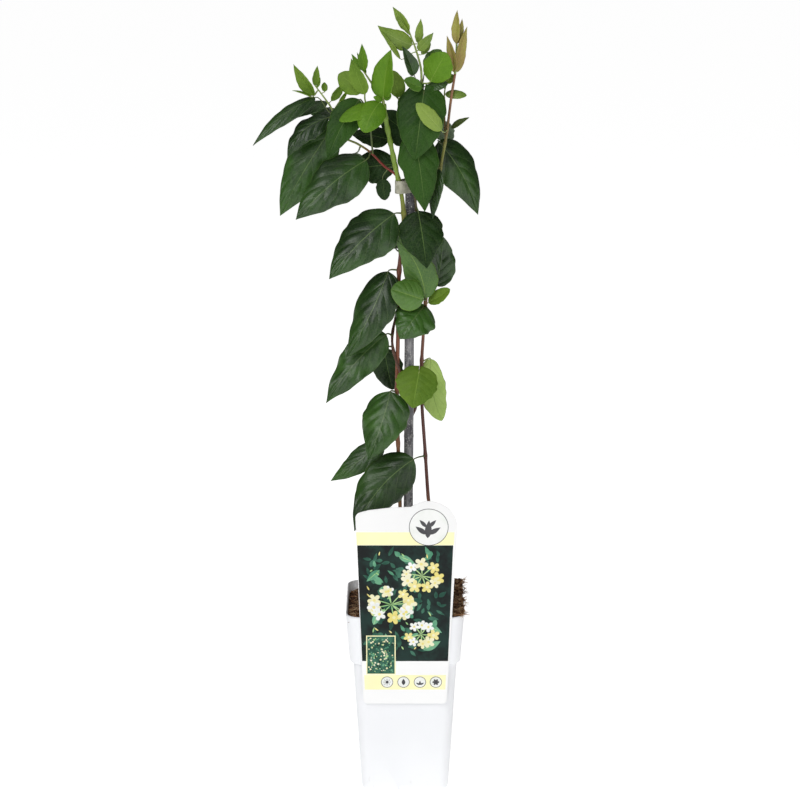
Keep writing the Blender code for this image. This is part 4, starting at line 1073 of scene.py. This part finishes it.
def drain_slot(way):
    """The cutter of a slot in the foot, on the side that way points to, with its top corners rounded."""
    wide, deep, tall = NOTCH
    bm = bmesh.new()
    bmesh.ops.create_cube(bm, size=MM)
    bmesh.ops.scale(bm, vec=(deep, wide, 2 * tall) if way.x else (wide, deep, 2 * tall), verts=bm.verts)
    top = [e for e in bm.edges if min(v.co.z for v in e.verts) > 0]
    along = [e for e in top if abs((e.verts[0].co - e.verts[1].co).normalized().dot(way)) > 0.9]
    bmesh.ops.bevel(bm, geom=along, offset=2.2 * MM, segments=5, profile=0.5, affect="EDGES", material=-1)
    bmesh.ops.translate(bm, vec=way * (FOOT_HALF + deep / 2) * MM, verts=bm.verts)
    return helper("slot", bm)


def drain_hole(x, y):
    """The cutter of a hole in the floor, in the corner that x and y point to."""
    bm = bmesh.new()
    radius = DRAIN_RADIUS * MM
    bmesh.ops.create_cone(bm, cap_ends=True, segments=24, radius1=radius, radius2=radius, depth=8 * MM)
    bmesh.ops.translate(bm, vec=(x * DRAIN_AT * MM, y * DRAIN_AT * MM, 1.5 * MM), verts=bm.verts)
    return helper("drain", bm)


def make_pot():
    """A thin moulded wall that steps out to a wide collar, with a soft lip, drain slots and drain holes."""
    outside = [(BASE_HALF - 1.6, 0.5), (BASE_HALF - 0.7, 1.4), (BASE_HALF, BASE_Z),
               *wall_stops((55.0, 95.0, 127.0)), (BODY_HALF, BODY_Z - 0.4), (BODY_HALF + 0.5, BODY_Z),
               (COLLAR_HALF - 0.9, BODY_Z + 0.5), (COLLAR_HALF - 0.3, BODY_Z + 1.2), (COLLAR_HALF, COLLAR_Z),
               *wall_stops((160.0,)), (RIM_HALF - 0.45, RIM_Z - 6.0), (RIM_HALF - 0.35, RIM_Z - 2.6),
               (RIM_HALF, RIM_Z - 2.2), (RIM_HALF, RIM_Z - 0.6), (RIM_HALF - 0.2, RIM_Z - 0.15),
               (RIM_HALF - 0.5, RIM_Z)]
    inside = [(RIM_HALF - WALL + 0.2, RIM_Z), (RIM_HALF - WALL, RIM_Z - 0.3),
              *wall_stops((160.0, COLLAR_Z + WALL), 0.0), (inner_half(BODY_Z), BODY_Z + WALL),
              *wall_stops((55.0, 11.0), 0.0), (inner_half(10) - 2.6, 9.6), (FOOT_HALF - 1.8, FLOOR)]
    bm = bmesh.new()
    drawn(bm, rounded_face(bm, FOOT_HALF, CORNER - 1, 0.0), outside + inside)
    bmesh.ops.recalc_face_normals(bm, faces=bm.faces)
    pot = finish_piece("pot_moulded", bm, ["pot"], "pot")
    cut(pot, [*[drain_slot(Vector(way)) for way in ((1, 0, 0), (-1, 0, 0), (0, 1, 0), (0, -1, 0))],
              *[drain_hole(x, y) for x, y in ((1, 1), (-1, 1), (-1, -1), (1, -1))]])
    pot.data.shade_smooth()
    pot.data.set_sharp_from_angle(angle=math.radians(38))


def soil_height(x, y):
    """Height of the heaped mix at a place, in mm."""
    lump = noise.noise(Vector((x / 13, y / 13, 3.7))) + 0.6 * noise.noise(Vector((x / 6, y / 6, 9.1)))
    middle = max(0.0, 1 - math.hypot(x, y) / 62)
    right = max(0.0, x - 14) / 40 * (0.8 + y / 250)
    back_left = max(0.0, -x - 15) / 40 * max(0.0, y + 10) / 60
    return SOIL_EDGE_Z + SOIL_HEAP * (0.7 * middle + 1.2 * right - 0.9 * back_left) + SOIL_LUMP * lump


def crumb(x, y):
    """Fine crumbs on the mix, in mm."""
    fine = noise.noise(Vector((x / 2.6, y / 2.6, 1.3))) + 0.6 * noise.noise(Vector((x / 1.2, y / 1.2, 5.9)))
    return 1.1 * fine


def soil_spot(rng, half):
    """A random place on the mix, kept inside the pot's round corners."""
    while True:
        x, y = rng.uniform(-half, half), rng.uniform(-half, half)
        cx, cy = abs(x) - (half - 9), abs(y) - (half - 9)
        if cx < 0 or cy < 0 or math.hypot(cx, cy) < 8:
            return x, y


def make_soil():
    """The heaped mix: a crumbly grid let down into the pot, with shreds of bark and coir all over it."""
    top_half = inner_half(SOIL_EDGE_Z) - 0.4
    corner = CORNER - WALL
    bm = bmesh.new()
    bmesh.ops.create_grid(bm, x_segments=SOIL_CELLS, y_segments=SOIL_CELLS, size=top_half)
    for vert in bm.verts:
        x, y = vert.co.x, vert.co.y
        cx, cy = abs(x) - (top_half - corner), abs(y) - (top_half - corner)
        if cx > 0 and cy > 0:
            reach = max(cx, cy) / math.hypot(cx, cy)
            x = math.copysign(top_half - corner + cx * reach, x)
            y = math.copysign(top_half - corner + cy * reach, y)
        z = soil_height(x, y) + crumb(x, y)
        if vert.is_boundary:
            z = min(z, RIM_Z - 0.5)
        else:
            spill = min(1.0, max(0.0, (z - RIM_Z - 1) / 3)) * min(1.0, max(0.0, (x - top_half + 9) / 7))
            x += 3.2 * spill
        vert.co = Vector((x, y, z)) * MM
    for half, z in (*wall_stops((165.0, 140.0), -0.5), (inner_half(BODY_Z) - 0.5, 135.5),
                    *wall_stops((120.0, 12.0), -0.6), (FOOT_HALF - 2.4, 10.6),
                    (FOOT_HALF - 2.6, FLOOR + 0.3)):
        rim = [e for e in bm.edges if e.is_boundary]
        before = {v for e in rim for v in e.verts}
        wide = max(abs(v.co.x) for v in before)
        pushed = bmesh.ops.extrude_edge_only(bm, edges=rim)["geom"]
        for vert in [g for g in pushed if isinstance(g, bmesh.types.BMVert)]:
            vert.co.x *= half * MM / wide
            vert.co.y *= half * MM / wide
            vert.co.z = z * MM
    bmesh.ops.holes_fill(bm, edges=[e for e in bm.edges if e.is_boundary])
    bmesh.ops.recalc_face_normals(bm, faces=bm.faces)
    for face in bm.faces:
        face.smooth = True
    rng = random.Random(SOIL_SEED)
    add_shreds(bm, rng, top_half)
    add_flakes(bm, rng, top_half)
    finish_piece("soil_mix", bm, ["soil", "straw_dark", "straw_brown", "straw_tan"], "soil")


def add_shreds(bm, rng, half):
    """Coir fibres, most lying flat and a few sticking up. Those past the even ones lie at the right."""
    for i in range(SHREDS):
        x, y = soil_spot(rng, half - 1)
        if i > EVEN_SHREDS:
            x = rng.uniform(half - 9, half + 2.5)
        length = rng.triangular(3, 24, 8)
        heading, rise = rng.uniform(0, math.tau), rng.gauss(0.05, 0.22)
        if x + y > 40:
            rise += 0.15
        way = Vector((math.cos(heading), math.sin(heading), rise)).normalized() * length
        bend = Vector((rng.gauss(0, 0.22), rng.gauss(0, 0.22), rng.gauss(0, 0.12))) * length
        foot = Vector((x, y, soil_height(x, y) + rng.uniform(-0.3, 1.6))) - way / 2
        mid, end = foot + way / 2 + bend * 0.5, foot + way
        foot, end = [Vector((*keep_inside(p, half), max(p.z, SOIL_EDGE_Z - 12))) for p in (foot, end)]
        thick = rng.triangular(0.12, 0.75, 0.22) * MM
        route = smooth_route([foot, mid, end], 3)
        radii = [thick * r for r in (0.5, 0.9, 1, 1, 1, 0.7, 0.3)]
        rod(bm, route, radii, 4, rng.choice((1, 2, 2, 3, 3)), 0.6)


def add_flakes(bm, rng, half):
    """Angular chips of bark. Those past the even ones lie at the right."""
    for i in range(FLAKES):
        x, y = soil_spot(rng, half - 2)
        if i > EVEN_FLAKES:
            x = rng.uniform(half - 8, half + 1.5)
        size = rng.triangular(1.0, 6.5, 2.2)
        part = bmesh.new()
        flake = bmesh.ops.create_cube(part, size=MM)["verts"]
        shape = size, size * rng.uniform(0.25, 0.7), size * rng.uniform(0.12, 0.4)
        turn = Matrix.Rotation(rng.uniform(0, math.tau), 4, "Z") @ Matrix.Rotation(rng.gauss(0, 0.5), 4, "Y")
        for vert in flake:
            vert.co = Vector([a * b for a, b in zip(vert.co, shape)]) * rng.uniform(0.75, 1.1)
        place = Matrix.Translation(Vector((x, y, soil_height(x, y) + 0.8)) * MM)
        bmesh.ops.transform(part, matrix=place @ turn, verts=flake)
        slot = rng.choice((1, 1, 2, 2, 3))
        for face in part.faces:
            face.material_index = slot
        add_part(bm, part)


def keep_inside(place, half):
    """x and y moved inside the wall, except that shreds at the right may lean over the rim."""
    over = RIM_OVERHANG if place.x > 20 and place.z > RIM_Z + 1 else 0.0
    return max(-half, min(half + over, place.x)), max(-half, min(half, place.y))


# Label

def label_y(z):
    """The card's back face follows the collar's front slope."""
    slope = (RIM_HALF - COLLAR_HALF) / (RIM_Z - COLLAR_Z)
    return -(COLLAR_HALF + (z - COLLAR_Z) * slope + CARD_AIR)


def arc(cx, cz, radius, start, end, steps):
    """Points of an arc from start to end, in degrees."""
    angles = [math.radians(start + (end - start) * i / steps) for i in range(steps + 1)]
    return [(cx + radius * math.cos(angle), cz + radius * math.sin(angle)) for angle in angles]


def card_outline():
    """The card from the front, (x, z) in mm: a tapering foot, a sloping shoulder and a round head."""
    half, low, r = CARD_FOOT_HALF, CARD_FOOT_Z, CARD_CORNER
    outline = arc(half - r, low + r, r, -90, 0, 8)
    outline += arc(*CARD_DISC, -8, 128, 48)
    outline += [(-14, 294.5), (-34, 292)]
    outline += arc(-CARD_SHOULDER_HALF + 6, CARD_SHOULDER_Z, 6, 100, 180, 8)
    outline += arc(-half + r, low + r, r, 180, 270, 8)
    return outline


def plate(bm, outline, low, high, slot=0):
    """A flat shape on the card, from low to high mm in front of the card's back. outline is (x, z) in mm."""
    face = bm.faces.new([bm.verts.new(Vector((x, label_y(z) - low, z)) * MM) for x, z in outline])
    front = push(bm, [face])[0]
    bmesh.ops.translate(bm, vec=(0, (low - high) * MM, 0), verts=front.verts)
    for f in {face, *[f for v in front.verts for f in v.link_faces]}:
        f.material_index = slot


def make_card():
    """The card with its tongue, which goes over the rim and down behind the pot's wall."""
    bm = bmesh.new()
    plate(bm, card_outline(), 0.0, CARD)
    over, foot = RIM_Z + CARD_AIR, RIM_Z - HOOK_DEPTH
    face_y, low_y = -(inner_half(RIM_Z) - CARD_AIR), -(inner_half(foot) - CARD_AIR)
    profile = [(label_y(over) - CARD * 0.5, over), (face_y, over), (low_y, foot), (low_y + CARD, foot),
               (face_y + CARD, over + CARD), (label_y(over + CARD) - CARD * 0.5, over + CARD)]
    side = bm.faces.new([bm.verts.new(Vector((-HOOK_HALF, y, z)) * MM) for y, z in profile])
    bmesh.ops.translate(bm, vec=(2 * HOOK_HALF * MM, 0, 0), verts=push(bm, [side])[0].verts)
    bmesh.ops.recalc_face_normals(bm, faces=bm.faces)
    soften(bm, 0.15)
    finish_piece("label_card", bm, ["card"], "label", 35.0)


def card_half(z):
    """Half width of the card at a height."""
    share = (z - CARD_FOOT_Z) / (CARD_SHOULDER_Z - CARD_FOOT_Z)
    return CARD_FOOT_HALF + (CARD_SHOULDER_HALF - CARD_FOOT_HALF) * share


def panel(low, high, inset):
    """A band right across the card, inset mm from its edges."""
    return [(-card_half(low) + inset, low), (card_half(low) - inset, low),
            (card_half(high) - inset, high), (-card_half(high) + inset, high)]


def lobed(cx, cz, radius, lobes, depth, turn=0.0, steps=48):
    """A round shape with lobes, such as a flower, or a plain disc where depth is 0."""
    outline = []
    for i in range(steps):
        angle = math.tau * i / steps
        reach = radius * (1 - depth * (1 - abs(math.cos(lobes * angle / 2)) ** 0.7))
        outline.append((cx + reach * math.cos(angle + turn), cz + reach * math.sin(angle + turn)))
    return outline


def leaf_shape(cx, cz, length, width, turn):
    """A pointed leaf or petal that starts at cx, cz and points along turn."""
    outline = []
    for side in (1, -1):
        for i in range(9):
            s = i / 9 if side > 0 else 1 - i / 9
            half = side * width / 2 * math.sin(math.pi * s ** 0.8)
            outline.append((cx + length * s * math.cos(turn) - half * math.sin(turn),
                            cz + length * s * math.sin(turn) + half * math.cos(turn)))
    return outline


def ring(bm, cx, cz, outer, inner):
    """A printed circle line: a full grey disc under a smaller white one."""
    plate(bm, lobed(cx, cz, outer, 1, 0.0), CARD - 0.02, CARD + 0.04, INKS.index("ink_grey"))
    plate(bm, lobed(cx, cz, inner, 1, 0.0), CARD - 0.02, CARD + 0.06, INKS.index("ink_white"))


INKS = ["ink_night", "ink_forest", "ink_leaf", "ink_fresh", "ink_cream", "ink_butter", "ink_white",
        "ink_band", "ink_grey"]


def make_print():
    """The label's print, plate on plate: bands, a garden picture, a small inset and four round signs."""
    rng = random.Random(PRINT_SEED)
    bm = bmesh.new()
    step = 0.0

    def ink(outline, name, height):
        nonlocal step
        step += 0.00012
        plate(bm, outline, CARD - 0.02, CARD + height + step, INKS.index(name))

    ink(panel(257.0, 270.0, 0.0), "ink_band", 0.02)
    ink(panel(108.8, 124.0, 2.0), "ink_band", 0.02)
    ink(panel(138.5, 256.8, 0.6), "ink_night", 0.02)
    for _ in range(120):
        x, z = rng.uniform(-33, 33), rng.uniform(148, 248)
        name = rng.choice(("ink_forest", "ink_forest", "ink_forest", "ink_leaf"))
        ink(leaf_shape(x, z, rng.uniform(6, 11), rng.uniform(2.5, 5), rng.uniform(0, math.tau)), name, 0.04)
    for x, z, size, turn in ((-24, 232, 17, 3.9), (17, 150, 19, 0.5), (-6, 246, 15, -0.4),
                             (20, 176, 17, -0.5), (-30, 176, 16, 1.2), (4, 205, 15, -1.3)):
        ink(leaf_shape(x, z, size, size * 0.42, turn), "ink_leaf", 0.08)
        ink(leaf_shape(x, z, size * 0.9, 0.7, turn), "ink_fresh", 0.08)
    for cx, cz, count, spread in ((16, 226, 9, 15), (-13, 197, 12, 17), (15, 166, 8, 12)):
        for i in range(count):
            angle = math.tau * i / count + rng.uniform(-0.3, 0.3)
            x, z = cx + spread * math.cos(angle), cz + spread * 0.8 * math.sin(angle)
            ink(leaf_shape(cx, cz, spread * 0.9, 1.0, angle), "ink_fresh", 0.10)
            size, turn = rng.uniform(4.8, 7.6), rng.uniform(0, math.tau)
            tone = rng.choice(("ink_cream", "ink_white", "ink_butter"))
            ink(lobed(x, z, size, 5, 0.62, turn), tone, 0.12)
            heart = "ink_cream" if tone == "ink_butter" else "ink_butter"
            ink(lobed(x, z, size * 0.22, 1, 0.0), heart, 0.15)
    for _ in range(26):
        x, z = rng.uniform(-34, 30), rng.uniform(145, 250)
        petal = leaf_shape(x, z, rng.uniform(3, 5.5), 1.3, rng.uniform(0.4, 2.6))
        ink(petal, rng.choice(("ink_butter", "ink_fresh")), 0.12)
    ink([(-37, 124.5), (-9, 124.5), (-9, 165), (-37, 165)], "ink_band", 0.17)
    ink([(-36, 125.5), (-10, 125.5), (-10, 164), (-36, 164)], "ink_forest", 0.19)
    for _ in range(170):
        x, z = rng.uniform(-34.6, -11.4), rng.uniform(127, 162.6)
        ink(lobed(x, z, rng.uniform(0.5, 1.3), 5, 0.4, rng.uniform(0, 6), 10),
            rng.choice(("ink_leaf", "ink_fresh", "ink_cream", "ink_night")), 0.20)
    for x in SIGNS:
        ring(bm, x, SIGN_Z, SIGN_RADIUS, SIGN_RADIUS - 0.55)
    sun, bud, sprig, flower = SIGNS
    for i in range(8):
        angle = i * math.pi / 4
        x, z = sun + 2.1 * math.cos(angle), SIGN_Z + 2.1 * math.sin(angle)
        ink(leaf_shape(x, z, 1.6, 0.6, angle), "ink_grey", 0.07)
    ink(lobed(sun, SIGN_Z, 1.5, 1, 0.0), "ink_grey", 0.07)
    ink(leaf_shape(bud, SIGN_Z - 3, 6.6, 3.4, math.pi / 2), "ink_grey", 0.07)
    for turn in (0.5, 1.57, 2.64):
        ink(leaf_shape(sprig, SIGN_Z - 2.8, 4.4, 1.7, turn), "ink_grey", 0.07)
    ink(lobed(flower, SIGN_Z, 3.3, 6, 0.5), "ink_grey", 0.07)
    cx, cz, _ = CARD_DISC
    ring(bm, cx, cz + 1, 18.5, 17.9)
    for dx, dz, length, turn in ((-1, -11, 18, 1.5), (-2, -7, 13, 2.5), (0, -7, 13, 0.55),
                                 (-2, 0, 10, 2.3), (0, 0, 10, 0.8)):
        ink(leaf_shape(cx + dx, cz + 1 + dz, length, length * 0.36, turn), "ink_grey", 0.08)
    bmesh.ops.recalc_face_normals(bm, faces=bm.faces)
    finish_piece("label_print", bm, INKS, None)


# Studio and camera
# Each light: its place, what it points at, its size in metres and its watts
LIGHTS = {
    "key": ((-0.95, -1.9, 1.95), (0, 0, 0.4), (1.5, 1.3), 30),
    "overhead": ((-0.3, -0.3, 2.3), (0, 0, 0.4), (1.8, 1.8), 8),
    "fill": ((1.2, -2.0, 0.8), (0, 0, 0.2), (1.4, 1.4), 9),
    "rim": ((0.6, 1.6, 1.5), (0, 0, 0.5), (1.2, 1.2), 4),
}
AIR_LIGHT = 0.06
CAMERA_AT = (-0.004857, -2.2, 0.94)
CAMERA_DIP = 14.25
LENS = 107.56


def make_light(name, place, aim, size, power):
    """A soft rectangular light."""
    lamp = bpy.data.lights.new(name, "AREA")
    lamp.shape, lamp.size, lamp.size_y = "RECTANGLE", *size
    lamp.energy = power
    made = bpy.data.objects.new(name, lamp)
    made.location = place
    made.rotation_euler = (Vector(aim) - Vector(place)).to_track_quat("-Z", "Y").to_euler()
    bpy.context.scene.collection.objects.link(made)


def make_studio():
    """A pale floor, a soft light from the upper left with weaker ones round it, and a white surround."""
    bm = bmesh.new()
    bmesh.ops.create_grid(bm, x_segments=1, y_segments=1, size=30.0)
    floor = helper("studio_floor", bm)
    paper = Look("studio_white", Base_Color=(0.55, 0.55, 0.55, 1.0), Roughness=0.9,
                 Emission_Color=(1, 1, 1, 1), Emission_Strength=0.95)
    floor.data.materials.append(paper.material)
    for name, settings in LIGHTS.items():
        make_light(name, *settings)
    world = bpy.data.worlds.new("studio_air")
    world.use_nodes = True
    sky = world.node_tree.nodes["Background"]
    sky.inputs["Color"].default_value = (1, 1, 1, 1)
    sky.inputs["Strength"].default_value = AIR_LIGHT
    bpy.context.scene.world = world
    bpy.context.scene.view_settings.view_transform = "Standard"


def make_camera():
    """Low above the plant's middle, with a long lens, as the photograph was taken."""
    lens = bpy.data.cameras.new("camera")
    lens.lens, lens.sensor_width = LENS, 36.0
    camera = bpy.data.objects.new("camera", lens)
    camera.location = CAMERA_AT
    camera.rotation_euler = (math.radians(90 - CAMERA_DIP), 0, 0)
    bpy.context.scene.collection.objects.link(camera)
    bpy.context.scene.camera = camera


make_camera()
make_studio()
make_pot()
make_soil()
make_card()
make_print()
make_cane()
make_tie()
grow_stems()
grow_leaves()
grow_shoots()
